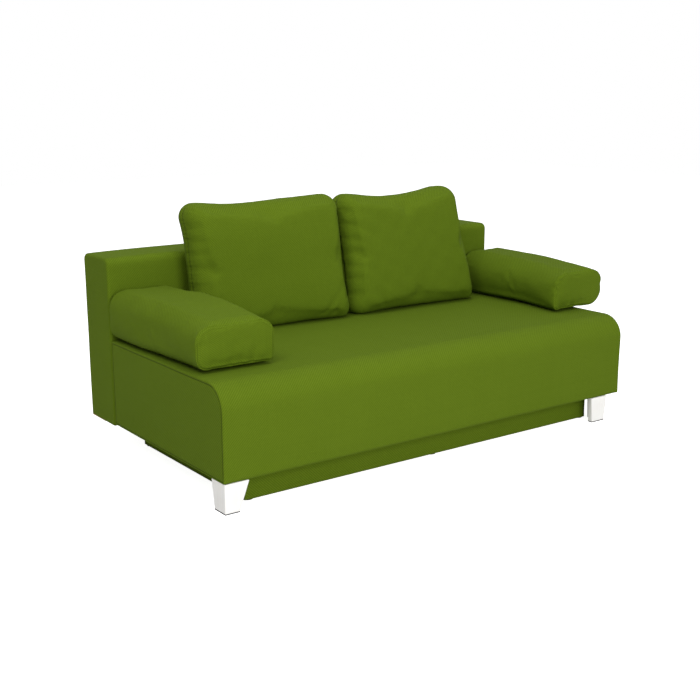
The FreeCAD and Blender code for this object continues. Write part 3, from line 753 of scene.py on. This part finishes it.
def placed_piece(piece, body, slot, nodes):
    """Give a piece its finish and body, and hide the nodes that it stands for."""
    piece.data.materials.append(finish(slot))
    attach(piece, body)
    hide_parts(*nodes)


# --- soft forms ---

SLOT_WALL = 0.005
SLOT_INSIDE = 0.0051
SLOT_DEPTH = 0.014
SLOT_COVER = 0.009
HINGE_NOTCH = 0.052
PANEL_ROOM = 0.0034


def corners(*names):
    """The lowest and highest corner of several nodes together, as arrays."""
    boxes = [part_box(name) for name in names]
    low = np.min([np.array(b[0]) for b in boxes], 0)
    high = np.max([np.array(b[1]) for b in boxes], 0)
    return low, high


def slotted_lines(line, places, half_width):
    """Extra grid lines at the walls of narrow slots, in place of those that are too near."""
    walls = []
    for place in places:
        for side in (-1, 1):
            wall = place + side * half_width
            walls += [wall - side * 0.0002, wall + side * 0.0004, wall + side * 0.004]
        walls.append(place)
    walls = np.array(walls)
    near = np.abs(line[:, None] - walls[None]).min(1) < 0.004
    near &= (line > line[0]) & (line < line[-1])
    return np.unique(np.round(np.concatenate([line[~near], walls]), 6))


def body_form(low, high, radii, end_radius, cell, slots, seam_inset):
    """The closed form of the seat or back: a (y, z) outline carried along x."""
    inset = end_radius
    a_line = ticks(low[1] + inset, high[1] - inset, cell, (0.0, 0.0035, 0.008, 0.014))
    b_line = ticks(low[2] + inset, high[2] - inset, cell, (0.0, 0.0035, 0.008, 0.014))
    place, off = end_rings(low[0], high[0], cell, inset, inset, 6)
    inner = slotted_lines(place[6:-6], slots, SLOT_WALL)
    place = np.concatenate([place[:6], inner, place[-6:]])
    off = np.concatenate([off[:6], np.full(len(inner), inset), off[-6:]])
    form = carried_outline(a_line, b_line, [r - inset for r in radii], (place, off), (),
                           seam_inset)
    form.co = form.co[:, [2, 0, 1]]
    return form


def turn_outward(form):
    """Reverse a form's faces and their map corners if they point in."""
    if outward(form.co, form.faces) < 0:
        form.faces = form.faces[:, ::-1]
        form.uv = form.uv[:, ::-1]


def slot_mask(x, places, half_width):
    """Which points lie between the walls of the slots."""
    return np.abs(x[:, None] - np.array(places)[None]).min(1) < half_width


def make_seat():
    """The seat's upholstery: a crowned block with a large front radius, one sheet over its top
    and front and a sewn panel at each end, with two slots in its rear for the lift arms."""
    sizes = settings("sofa_body")
    low, high = corners("seat_cover", "seat_side_covers")
    arm_low, arm_high = corners("lift_arm_right")
    arm_x = (arm_low[0] + arm_high[0]) / 2
    slots = (-arm_x, arm_x)
    form = body_form(low, high, (sizes.foot_radius, sizes.foot_radius, sizes.edge_radius,
                                 sizes.front_radius), sizes.end_radius, sizes.cell, slots,
                     sizes.seam_inset)
    turn_outward(form)
    rest = form.co.copy()
    normal = point_normals(rest, form.faces)
    span_x = np.clip(1 - (rest[:, 0] / high[0]) ** 2, 0, 1)
    middle = (low[1:] + high[1:]) / 2
    half = (high[1:] - low[1:]) / 2
    across = np.clip(1 - ((rest[:, 1] - middle[0]) / half[0]) ** 2, 0, 1)
    upright = np.clip(1 - ((rest[:, 2] - middle[1]) / half[1]) ** 2, 0, 1)
    front = np.clip(-normal[:, 1], 0, 1)
    top = np.clip(normal[:, 2], 0, 1)
    ends = np.abs(normal[:, 0])
    swell = sizes.crown * (0.9 * front * np.sqrt(span_x * upright) + 0.6 * ends * across * upright)
    slack = sizes.ripple * waves(rest * (0.35, 1.0, 1.0), 0.19, 3)
    slack *= 0.5 * top + front + 0.6 * ends
    slack = np.where(rest[:, 2] < low[2] + 0.03, 0.0, slack)
    seam = seam_profile(form.seam, 0.0024, 0.0012, 0.0007)
    move = swell + slack - sizes.ripple * top + seam
    form.co = rest + normal * move[:, None]
    inside = slot_mask(rest[:, 0], slots, SLOT_INSIDE)
    rear = inside & (rest[:, 1] > high[1] - 0.004) & (rest[:, 2] < high[2] - SLOT_COVER)
    rear &= rest[:, 2] > low[2] + 0.001
    form.co[rear, 1] = arm_low[1] - SLOT_DEPTH
    below = (normal[:, 2] < -0.9)
    at_end = step_up(np.abs(rest[:, 0]), high[0] - 0.010, high[0] - 0.006)
    raised = rest[:, 2] - low[2]
    form.co[:, 2] -= at_end * 0.7 * raised * (1 - step_up(raised, 0.0, 0.024))
    tuck = step_up(np.minimum(rest[:, 1] - low[1], high[0] - np.abs(rest[:, 0])), 0.016, 0.026)
    form.co[:, 2] += np.where(below, PANEL_ROOM * tuck, 0.0)
    piece = mesh_piece("seat_upholstery", form.co, form.faces, form.uv, seam=form.seam)
    placed_piece(piece, "seat", "upholstery", ("seat_cover", "seat_side_covers", "seat_foam",
                                                "seat_front_pad", "seat_felt",
                                                "seat_rear_lining"))


def make_back():
    """The back's upholstery: a block with soft edges and a crowned top, y and z rounded in
    quarter circles, with a notch for each hinge at its foot."""
    sizes = settings("sofa_body")
    low, high = corners("back_cover", "back_rear_cover")
    arm_low, arm_high = corners("lift_arm_right")
    arm_x = (arm_low[0] + arm_high[0]) / 2
    slots = (-arm_x, arm_x)
    form = body_form(low, high, (sizes.back_foot_radius, sizes.back_end_radius + 0.0005,
                                 sizes.back_top_radius, sizes.back_top_radius),
                     sizes.back_end_radius, sizes.cell, slots, 1.0)
    turn_outward(form)
    rest = form.co.copy()
    normal = point_normals(rest, form.faces)
    middle = (low + high) / 2
    half = (high - low) / 2
    bow = np.clip(1 - ((rest - middle) / half) ** 2, 0, 1)
    face = np.abs(normal)
    top = np.clip(normal[:, 2], 0, 1)
    ends = face[:, 0]
    swell = sizes.crown * (2.4 * top * bow[:, 0] ** 0.6 * np.sqrt(bow[:, 1])
                           + 0.5 * ends * bow[:, 1] * bow[:, 2])
    slack = sizes.ripple * waves(rest * (0.35, 1.0, 1.0), 0.17, 8) * (0.5 * top + 0.5 * ends)
    form.co = rest + normal * (swell + slack - sizes.ripple * top)[:, None]
    inside = slot_mask(rest[:, 0], slots, SLOT_INSIDE)
    y_in, z_in = low[1] + HINGE_NOTCH, low[2] + HINGE_NOTCH
    on_front = inside & (rest[:, 1] < low[1] + 0.017) & (rest[:, 2] < z_in)
    on_foot = inside & (rest[:, 2] < low[2] + 0.017) & (rest[:, 1] < y_in) & ~on_front
    down = np.clip((z_in - rest[:, 2]) / HINGE_NOTCH, 0, 1)
    over = np.clip((y_in - rest[:, 1]) / HINGE_NOTCH, 0, 1)
    form.co[on_front, 1] = (low[1] + down * HINGE_NOTCH)[on_front]
    form.co[on_front, 2] = z_in
    form.co[on_foot, 1] = y_in
    form.co[on_foot, 2] = (low[2] + over * HINGE_NOTCH)[on_foot]
    piece = mesh_piece("back_upholstery", form.co, form.faces, form.uv, seam=form.seam)
    placed_piece(piece, "back", "upholstery", ("back_cover", "back_rear_cover", "back_foam",
                                                "back_top_pad"))


def make_box_cover():
    """The cloth stretched round the bedding box: a section with a turned hem at each edge,
    carried along a path round three sides with rounded corners."""
    sizes = settings("sofa_body")
    low, high = corners("base_cover")
    wall, hem, radius = 0.0015, sizes.hem, sizes.box_corner
    turn = np.linspace(0, math.pi / 2, 7)[1:-1]
    side = np.linspace(high[1], low[1] + radius, 40)
    front = np.linspace(low[0] + radius, high[0] - radius, 110)
    corner = np.stack([low[0] + radius - radius * np.cos(turn),
                       low[1] + radius - radius * np.sin(turn)], -1)
    path = np.concatenate([
        np.stack([np.full(40, low[0]), side], -1), corner,
        np.stack([front, np.full(110, low[1])], -1),
        (corner * (-1, 1))[::-1], np.stack([np.full(40, high[0]), side[::-1]], -1)])
    along = np.gradient(path, axis=0)
    along /= np.linalg.norm(along, axis=1, keepdims=True)
    inward = np.stack([-along[:, 1], along[:, 0]], -1)
    height = high[2] - low[2]
    up = np.array([0.0, 0.0015, hem, hem + 0.0008, hem + 0.003, height / 2, height - hem - 0.003,
                   height - hem - 0.0008, height - hem, height - 0.0015, height])
    depth = np.array([0.0006, 0.0, 0.0, 0.0003, 0.0005, 0.0005, 0.0005, 0.0003, 0.0, 0.0, 0.0006])
    section_z = np.concatenate([up, up[::-1]])
    section_in = np.concatenate([depth, np.full(len(up), wall)])
    around, count = len(section_z), len(path)
    co = np.concatenate([path[:, None] + inward[:, None] * section_in[None, :, None],
                         np.repeat((low[2] + section_z)[None, :, None], count, 0)], -1)
    co = co.reshape(-1, 3)
    i, j = np.meshgrid(np.arange(count - 1), np.arange(around), indexing="ij")
    k = (j + 1) % around
    faces = np.stack([i * around + j, (i + 1) * around + j, (i + 1) * around + k,
                      i * around + k], -1).reshape(-1, 4)
    run = np.append(0.0, np.cumsum(np.linalg.norm(np.diff(path, axis=0), axis=1)))
    uv = np.stack([np.stack([run[i], section_z[j]], -1), np.stack([run[i + 1], section_z[j]], -1),
                   np.stack([run[i + 1], section_z[k]], -1),
                   np.stack([run[i], section_z[k]], -1)], 2).reshape(-1, 4, 2)
    half = len(up)
    strip = np.arange(half - 1)
    for first, turned in ((0, False), ((count - 1) * around, True)):
        quad = first + np.stack([strip, strip + 1, around - 2 - strip, around - 1 - strip], -1)
        faces = np.concatenate([faces, quad[:, ::-1] if turned else quad])
        uv = np.concatenate([uv, np.zeros((len(quad), 4, 2))])
    if outward(co, faces) < 0:
        faces, uv = faces[:, ::-1], uv[:, ::-1]
    piece = mesh_piece("box_cover", co, faces, uv, seam=np.ones(len(co)))
    placed_piece(piece, "base", "upholstery", ("base_cover",))


def make_leg(name, side, foot_width, taper):
    """A corner leg: an L of two boards whose points slide in evenly from the top to the foot,
    x = top + (foot - top) s, carried up the height, with eased edges."""
    sizes = settings("sofa_legs")
    low, high = corners(name)
    board = sizes.board
    outer, inner = (low[0], high[0]) if side < 0 else (high[0], low[0])
    toward = -side
    top = np.array([(outer, low[1]), (inner, low[1]), (inner, low[1] + board),
                    (outer + toward * board, low[1] + board), (outer + toward * board, high[1]),
                    (outer, high[1])])
    start = outer + toward * taper
    foot_y = low[1] + sizes.foot_depth
    foot = np.array([(start, low[1]), (start + toward * foot_width, low[1]),
                     (start + toward * foot_width, low[1] + board),
                     (start + toward * board, low[1] + board), (start + toward * board, foot_y),
                     (start, foot_y)])
    rise = np.linspace(0.0, 1.0, 9)
    ring = foot[None] + (top - foot)[None] * rise[:, None, None]
    z = np.repeat((low[2] + (high[2] - low[2]) * rise)[:, None], 6, 1)
    co = np.concatenate([ring, z[:, :, None]], -1).reshape(-1, 3)
    i, j = np.meshgrid(np.arange(8), np.arange(6), indexing="ij")
    k = (j + 1) % 6
    faces = np.stack([i * 6 + j, i * 6 + k, (i + 1) * 6 + k, (i + 1) * 6 + j], -1).reshape(-1, 4)
    ends = np.array([(0, 1, 2, 3), (0, 3, 4, 5)])
    faces = np.concatenate([faces, ends[:, ::-1], ends + 48])
    faces = faces[:, ::outward(co, faces)]
    piece = mesh_piece(name + "_painted", co, faces)
    ease = piece.modifiers.new("Eased edges", "BEVEL")
    ease.width = sizes.bevel
    ease.segments = 3
    ease.limit_method = "ANGLE"
    ease.angle_limit = math.radians(40)
    ease.harden_normals = True
    placed_piece(piece, "seat", "leg_paint", (name,))


def swollen(piece, pressure, travel):
    """Swell a closed piece like stuffed cloth: air pressure and no gravity for twenty frames,
    with no point moving further than the travel. The result goes into the mesh."""
    rest = read_points(piece.data)
    filling = piece.modifiers.new("Filling", "CLOTH")
    cloth = filling.settings
    cloth.quality = 6
    cloth.mass = 0.25
    cloth.tension_stiffness = 18
    cloth.compression_stiffness = 12
    cloth.shear_stiffness = 6
    cloth.bending_stiffness = 1.5
    cloth.use_pressure = True
    cloth.uniform_pressure_force = pressure
    cloth.effector_weights.gravity = 0.0
    filling.point_cache.frame_start = 1
    filling.point_cache.frame_end = 20
    scene = bpy.context.scene
    for step in range(1, 21):
        scene.frame_set(step)
    shaped = piece.evaluated_get(bpy.context.evaluated_depsgraph_get())
    move = read_points(shaped.data) - rest
    piece.modifiers.remove(filling)
    scene.frame_set(1)
    size = np.linalg.norm(move, axis=1, keepdims=True)
    move *= np.minimum(1.0, travel / np.maximum(size, 1e-9))
    write_points(piece, rest + move)


def write_points(piece, co):
    """Put points back into a piece's mesh."""
    piece.data.vertices.foreach_set("co", co.astype(np.float32).reshape(-1))
    piece.data.update()


def subdivided(piece):
    """One level of subdivision, the same in the view and in the render."""
    finer = piece.modifiers.new("Finer", "SUBSURF")
    finer.levels = 1
    finer.render_levels = 1


def fitted(co, low, high):
    """Scale and move points so that their box is the given one."""
    from_low, from_high = co.min(0), co.max(0)
    return low + (co - from_low) * (high - low) / (from_high - from_low)


def make_cushion(name, seed, shape):
    """A back cushion: a crowned pillow with a seam round its middle, leant on the back. Its
    edges lean by a share of the height, its top follows a given line, and short folds run in
    from the seams."""
    sizes = settings("sofa_cushions")
    low, high = corners(name + "_cover")
    width = high[0] - low[0]
    tall, thick, radius, tilt = sizes.height, sizes.thickness, sizes.edge, sizes.tilt
    inset = 0.044
    a_line = ticks(inset, width - inset, sizes.cell, (0.0, 0.004, 0.009, 0.014))
    b_line = ticks(inset, tall - inset, sizes.cell, (0.0, 0.004, 0.009, 0.014))
    rings = end_rings(0.016, thick - 0.016, 0.006, inset, 0.056, 9, 0.9)
    seam_ring = len(rings[0]) // 2
    form = carried_outline(a_line, b_line, [sizes.corner - inset] * 4, rings, (seam_ring,))
    form.co = form.co[:, [0, 2, 1]]
    turn_outward(form)
    gather = np.exp(-form.seam / 0.050) * (0.55 + 0.45 * waves(form.co, 0.16, seed + 2))
    piece = mesh_piece(name, form.co, form.faces, form.uv, seam=form.seam + sizes.seam_lift,
                       gather=gather)
    swollen(piece, sizes.pressure, sizes.swell)
    co = read_points(piece.data)
    co = fitted(co, np.array([0.0, -0.012, 0.0]), np.array([width, thick + 0.006, tall]))
    u, v = co[:, 0] / width, co[:, 2] / tall
    drop = np.interp(u, shape["top_at"], shape["top_drop"])
    co[:, 2] -= (drop + 0.003 * np.sin(9.3 * u + seed)) * step_up(v, 0.35, 1.0)
    lean = shape["left_lean"] * (1 - u) + shape["right_lean"] * u
    co[:, 0] += shape["left_tuck"] * (1 - u) * (1 - v) - shape["right_tuck"] * u
    side_bow = np.clip(1 - (2 * v - 1) ** 2, 0, 1)
    co[:, 0] += lean * v + 0.004 * side_bow * (0.5 - u) * 2 * np.abs(2 * u - 1)
    forward = np.clip(1 - co[:, 1] / thick, 0, 1)
    co[:, 1] += shape["slack_foot"] * np.clip(1 - u, 0, 1) * np.clip(1 - 1.4 * v, 0, 1) * forward
    normal = point_normals(co, form.faces)
    front = step_up(-normal[:, 1], -0.45, 0.25)
    left = np.maximum(co[:, 0] - co[:, 0].min() - 0.004, 0.0)
    field = -shape["pull"] * folds(co[:, 2], left, *shape["left"])
    field -= 0.0055 * folds(width - co[:, 0], np.maximum(co[:, 2] - 0.03, 0), *shape["foot"])
    field *= front
    slack = 0.0022 * waves(co, 0.21, seed) + 0.0007 * waves(co, 0.06, seed + 1)
    seam = seam_profile(form.seam, 0.0045, 0.0030, 0.0014)
    co += normal * (field + slack + seam)[:, None]
    co[:, 1] = thick - 0.001 - (pressed_above(thick - 0.001 - co[:, 1], 0.0, 0.004))
    turn = np.array([[1, 0, 0], [0, math.cos(tilt), math.sin(tilt)],
                     [0, -math.sin(tilt), math.cos(tilt)]])
    co = co @ turn.T
    reach_y = math.cos(tilt) * (thick - radius) + math.sin(tilt) * (tall - radius) + radius
    reach_z = math.cos(tilt) * (tall - radius) - math.sin(tilt) * radius + radius
    co += np.array([low[0], high[1] - reach_y, high[2] - reach_z])
    floor = corners("seat_cover")[1][2] + sizes.rest_gap
    co[:, 2] = pressed_above(co[:, 2], floor, 0.0035)
    room = 0.0012 - min(shape["left_lean"], 0.0) * np.clip(v, 0, 1)
    co[:, 0] = np.clip(co[:, 0], low[0] - room, high[0] + 0.0012)
    write_points(piece, co)
    subdivided(piece)
    placed_piece(piece, name, "upholstery", (name + "_cover", name + "_insert"))


def make_bolster(name, side, seed, shape):
    """An arm bolster: a loaf with sewn end panels. Its top is crowned along its length, puckers
    run in from the front panel's seam, and the left one gives way to the back cushion."""
    sizes = settings("sofa_cushions")
    low, high = corners(name + "_cover")
    width, tall, long = high[0] - low[0], high[2] - low[2], high[1] - low[1]
    inset = sizes.bolster_end
    a_line = ticks(inset, width - inset, sizes.cell, (0.0, 0.004, 0.010))
    b_line = ticks(inset, tall - inset, sizes.cell, (0.0, 0.004, 0.010))
    rings = end_rings(0.006, long - 0.006, sizes.cell, inset, inset * 0.6, 6)
    top, foot = sizes.bolster_edge - inset, sizes.bolster_foot - inset
    rim = sizes.bolster_rim - inset
    feet = [foot, top] if side > 0 else [rim, foot]
    form = carried_outline(a_line, b_line, feet + [top, top], rings, (3, len(rings[0]) - 4))
    form.co = form.co[:, [0, 2, 1]]
    turn_outward(form)
    # the painted seam shade is faded towards the lit top of the bolster
    faint = 0.0016 * step_up(form.co[:, 2] / tall, 0.5, 0.85) + shape["faint"]
    gather = 0.5 * np.exp(-form.seam / 0.02) * (0.5 + 0.5 * waves(form.co, 0.12, seed + 2))
    piece = mesh_piece(name, form.co, form.faces, form.uv, seam=form.seam + faint,
                       gather=gather)
    swollen(piece, sizes.pressure, sizes.swell * 0.3)
    co = read_points(piece.data)
    edge = co[(form.seam < 1e-9) & (form.co[:, 1] < long / 2), 1].mean()
    co[:, 1] = np.where(co[:, 1] < edge, edge + shape["bulge"] * (co[:, 1] - edge), co[:, 1])
    co = fitted(co, np.array([0.0, 0.0, 0.0]), np.array([width, long, tall]))
    s = co[:, 1] / long
    height = shape["front_height"] + (1 - shape["front_height"]) * np.sin(
        math.pi / 2 * np.clip(s / shape["crest"], 0, 1))
    co[:, 2] *= 1 + (height - 1) * step_up(co[:, 2] / tall, 0.1, 1.0)
    normal = point_normals(co, form.faces)
    front = np.clip(-normal[:, 1], 0, 1)
    puckers = folds(co[:, 0], np.maximum(co[:, 2] - 0.010, 0.0), *shape["puckers"])
    creases = folds(co[:, 2], np.maximum(co[:, 0] - 0.010, 0.0), *shape["creases"])
    field = -front * (0.0095 * puckers + 0.006 * creases)
    slack = 0.0012 * waves(co, 0.2, seed) + 0.0005 * waves(co, 0.06, seed + 1)
    seam = seam_profile(form.seam, 0.0032, 0.0020, 0.0014)
    co += normal * (field + slack + seam)[:, None]
    left_share = np.clip(1 - co[:, 0] / width, 0, 1)
    place = step_up(s, 0.25, 0.8) if side < 0 else 1 - step_up(s, 0.0, 0.4)
    co[:, 0] -= shape["left_room"] * left_share * place
    co += low
    floor = corners("seat_cover")[1][2] + sizes.rest_gap
    co[:, 2] = pressed_above(co[:, 2], floor, 0.0035)
    co[:, 1] = np.minimum(co[:, 1], high[1] + 0.002)
    if side < 0:
        near_low = corners("cushion_left_cover")[0]
        limit = high[0] - (high[0] - near_low[0] + 0.004) * step_up(
            co[:, 1], near_low[1] - 0.07, near_low[1] + 0.01)
        shrink = (limit - low[0]) / (high[0] - low[0])
        co[:, 0] = low[0] + (co[:, 0] - low[0]) * np.minimum(shrink, 1.0)
    write_points(piece, co)
    subdivided(piece)
    placed_piece(piece, name, "upholstery", (name + "_cover", name + "_insert"))


LEFT_CUSHION = {
    "top_at": (0.0, 0.14, 0.5, 0.86, 1.0),
    "top_drop": (0.006, 0.003, 0.005, -0.002, 0.002),
    "left_lean": -0.006,
    "right_lean": -0.034,
    "right_tuck": 0.0,
    "left_tuck": 0.022,
    "slack_foot": 0.040,
    "pull": 0.0045,
    "left": ((0.14, 0.20, 0.27, 0.32, 0.37, 0.42), (0.008, 0.007, 0.008, 0.006, 0.007, 0.008),
             (0.07, 0.05, 0.09, 0.05, 0.06, 0.05), (-0.1, -0.1, -0.2, 0.0, -0.1, 0.05)),
    "foot": ((0.16, 0.10), (0.012, 0.010), (0.11, 0.05), (-0.9, -0.4)),
}
RIGHT_CUSHION = {
    "top_at": (0.0, 0.08, 0.32, 0.64, 0.86, 1.0),
    "top_drop": (0.012, 0.008, 0.012, 0.014, -0.001, 0.004),
    "left_lean": -0.026,
    "right_lean": -0.096,
    "right_tuck": 0.010,
    "left_tuck": 0.0,
    "slack_foot": 0.0,
    "pull": 0.0055,
    "left": ((0.10, 0.16, 0.22, 0.27, 0.33, 0.39, 0.44),
             (0.009, 0.008, 0.009, 0.007, 0.009, 0.009, 0.008),
             (0.08, 0.06, 0.08, 0.06, 0.08, 0.09, 0.06),
             (-0.1, 0.0, -0.25, -0.1, -0.3, -0.4, -0.2)),
    "foot": ((0.05, 0.55), (0.012, 0.012), (0.06, 0.05), (-0.6, 0.5)),
}
LEFT_BOLSTER = {
    "front_height": 0.86,
    "crest": 0.62,
    "left_room": 0.017,
    "faint": 0.0008,
    "bulge": 0.4,
    "puckers": ((0.13, 0.165, 0.21), (0.006, 0.005, 0.006), (0.04, 0.03, 0.055),
                (0.1, 0.05, 0.3)),
    "creases": ((0.10,), (0.006,), (0.02,), (0.0,)),
}
RIGHT_BOLSTER = {
    "front_height": 0.88,
    "crest": 1.0,
    "left_room": 0.024,
    "faint": 0.0018,
    "bulge": 0.4,
    "puckers": ((0.04, 0.07, 0.11), (0.006, 0.006, 0.007), (0.03, 0.035, 0.03),
                (0.2, 0.1, 0.0)),
    "creases": ((0.10, 0.12, 0.14), (0.005, 0.005, 0.006), (0.035, 0.045, 0.035),
                (-0.5, -0.5, -0.4)),
}


# --- operators ---

class SOFA_OT_stage(bpy.types.Operator):
    """Make the pale floor, the soft studio lights and the camera"""

    bl_idname = "sofa.stage"
    bl_label = "Stage, lights and camera"

    def execute(self, context):
        values = settings("sofa_stage")
        scene = context.scene
        scene.view_settings.view_transform = "Standard"
        step = np.linspace(-12.0, 12.0, 13)
        x, y = np.meshgrid(step, step, indexing="ij")
        co = np.stack([x, y, np.zeros_like(x)], -1).reshape(-1, 3)
        i, j = np.meshgrid(np.arange(12), np.arange(12), indexing="ij")
        faces = np.stack([i * 13 + j, (i + 1) * 13 + j, (i + 1) * 13 + j + 1,
                          i * 13 + j + 1], -1).reshape(-1, 4)
        floor = mesh_piece("floor", co, faces)
        material, tree, shader, place = new_material("Studio floor", 0.9)
        cloud = remap(tree, noise(tree, place, 0.7, 2.0), 0.3, 0.7)
        tint = settings("sofa_cloth").floor
        feed(tree, shader.inputs["Base Color"], mixed(
            tree, cloud, rgba(tint), rgba([0.99 * c for c in tint])))
        shader.inputs["Specular IOR Level"].default_value = 0.1
        seen = tree.nodes.new("ShaderNodeLightPath").outputs["Is Camera Ray"]
        shader.inputs["Emission Color"].default_value = (1.0, 1.0, 1.0, 1.0)
        feed(tree, shader.inputs["Emission Strength"], calc(tree, "MULTIPLY", seen, 0.90))
        floor.data.materials.append(material)

        world = bpy.data.worlds.new("Studio")
        world.use_nodes = True
        sky = world.node_tree.nodes["Background"]
        sky.inputs[0].default_value = (1.0, 1.0, 1.0, 1.0)
        seen = world.node_tree.nodes.new("ShaderNodeLightPath").outputs["Is Camera Ray"]
        feed(world.node_tree, sky.inputs[1], remap(world.node_tree, seen, 0.0, 1.0,
                                                   values.sky, 1.0))
        scene.world = world

        lights = (
            ("Key", (-0.7, -4.6, 1.9), 2.4, 120.0),
            ("Left", (-3.0, -1.6, 4.4), 2.2, 84.0),
            ("Top", (0.4, 0.2, 4.6), 2.2, 44.0),
        )
        for name, place, size, power in lights:
            lamp = bpy.data.lights.new(name, "AREA")
            lamp.shape = "SQUARE"
            lamp.size = size
            lamp.energy = power
            lamp_object = bpy.data.objects.new(name, lamp)
            scene.collection.objects.link(lamp_object)
            lamp_object.location = place
            aim = np.array((0.0, 0.0, 0.35)) - np.array(place)
            lamp_object.rotation_euler = (
                math.atan2(math.hypot(aim[0], aim[1]), -aim[2]), 0.0,
                math.atan2(aim[1], aim[0]) - math.pi / 2)

        camera = bpy.data.cameras.new("Camera")
        camera.sensor_width = 36.0
        camera.lens = values.lens
        camera.shift_x = 0.00454
        camera.shift_y = -0.0006
        holder = bpy.data.objects.new("Camera", camera)
        scene.collection.objects.link(holder)
        holder.location = values.camera_place
        holder.rotation_euler = (math.pi / 2 - values.camera_drop, 0.0011, -values.camera_turn)
        scene.camera = holder
        return {"FINISHED"}


class SOFA_OT_seat(bpy.types.Operator):
    """Upholster the seat"""

    bl_idname = "sofa.seat"
    bl_label = "Seat upholstery"

    def execute(self, context):
        make_seat()
        return {"FINISHED"}


class SOFA_OT_back(bpy.types.Operator):
    """Upholster the back"""

    bl_idname = "sofa.back"
    bl_label = "Back upholstery"

    def execute(self, context):
        make_back()
        return {"FINISHED"}


class SOFA_OT_box_cover(bpy.types.Operator):
    """Stretch the cloth round the bedding box"""

    bl_idname = "sofa.box_cover"
    bl_label = "Bedding box cover"

    def execute(self, context):
        make_box_cover()
        return {"FINISHED"}


class SOFA_OT_legs(bpy.types.Operator):
    """Make the two painted wooden legs"""

    bl_idname = "sofa.legs"
    bl_label = "Legs"

    def execute(self, context):
        sizes = settings("sofa_legs")
        make_leg("leg_left", -1, sizes.left_foot, 0.0)
        make_leg("leg_right", 1, sizes.right_foot, sizes.right_taper)
        return {"FINISHED"}


class SOFA_OT_cushions(bpy.types.Operator):
    """Make the two loose back cushions"""

    bl_idname = "sofa.cushions"
    bl_label = "Back cushions"

    def execute(self, context):
        make_cushion("cushion_left", 11, LEFT_CUSHION)
        make_cushion("cushion_right", 23, RIGHT_CUSHION)
        return {"FINISHED"}


class SOFA_OT_bolsters(bpy.types.Operator):
    """Make the two loose arm bolsters"""

    bl_idname = "sofa.bolsters"
    bl_label = "Arm bolsters"

    def execute(self, context):
        make_bolster("bolster_left", -1, 31, LEFT_BOLSTER)
        make_bolster("bolster_right", 1, 47, RIGHT_BOLSTER)
        return {"FINISHED"}


class SOFA_OT_finishes(bpy.types.Operator):
    """Give every board, rail and fitting its finish"""

    bl_idname = "sofa.finishes"
    bl_label = "Frame and fittings"

    def execute(self, context):
        slots = {row["node"]: row["material_slot"] for row in frame["record"]["subparts"]}
        for name, node in frame["nodes"].items():
            material = finish(slots[name])
            if not node.material_slots:
                node.data.materials.append(material)
            for place in node.material_slots:
                place.material = material
        return {"FINISHED"}


class SOFA_PT_panel(bpy.types.Panel):
    """Lists the pieces of the sofa"""

    bl_idname = "SOFA_PT_panel"
    bl_label = "Sofa"
    bl_space_type = "VIEW_3D"
    bl_region_type = "UI"
    bl_category = "Sofa"

    def draw(self, context):
        for operator in OPERATORS:
            self.layout.operator(operator.bl_idname)


OPERATORS = (SOFA_OT_stage, SOFA_OT_seat, SOFA_OT_back, SOFA_OT_box_cover, SOFA_OT_legs,
             SOFA_OT_cushions, SOFA_OT_bolsters, SOFA_OT_finishes)


def register():
    """Register the settings, the operators and the panel."""
    for name, group in SETTINGS.items():
        bpy.utils.register_class(group)
        setattr(bpy.types.Scene, name, bpy.props.PointerProperty(type=group))
    for operator in OPERATORS:
        bpy.utils.register_class(operator)
    bpy.utils.register_class(SOFA_PT_panel)


def unregister():
    """Take the settings, the operators and the panel out again."""
    bpy.utils.unregister_class(SOFA_PT_panel)
    for operator in reversed(OPERATORS):
        bpy.utils.unregister_class(operator)
    for name, group in SETTINGS.items():
        delattr(bpy.types.Scene, name)
        bpy.utils.unregister_class(group)


def main():
    """Make the whole sofa."""
    register()
    bpy.ops.sofa.stage()
    bpy.ops.sofa.seat()
    bpy.ops.sofa.back()
    bpy.ops.sofa.box_cover()
    bpy.ops.sofa.legs()
    bpy.ops.sofa.cushions()
    bpy.ops.sofa.bolsters()
    bpy.ops.sofa.finishes()


if __name__ == "__main__":
    main()
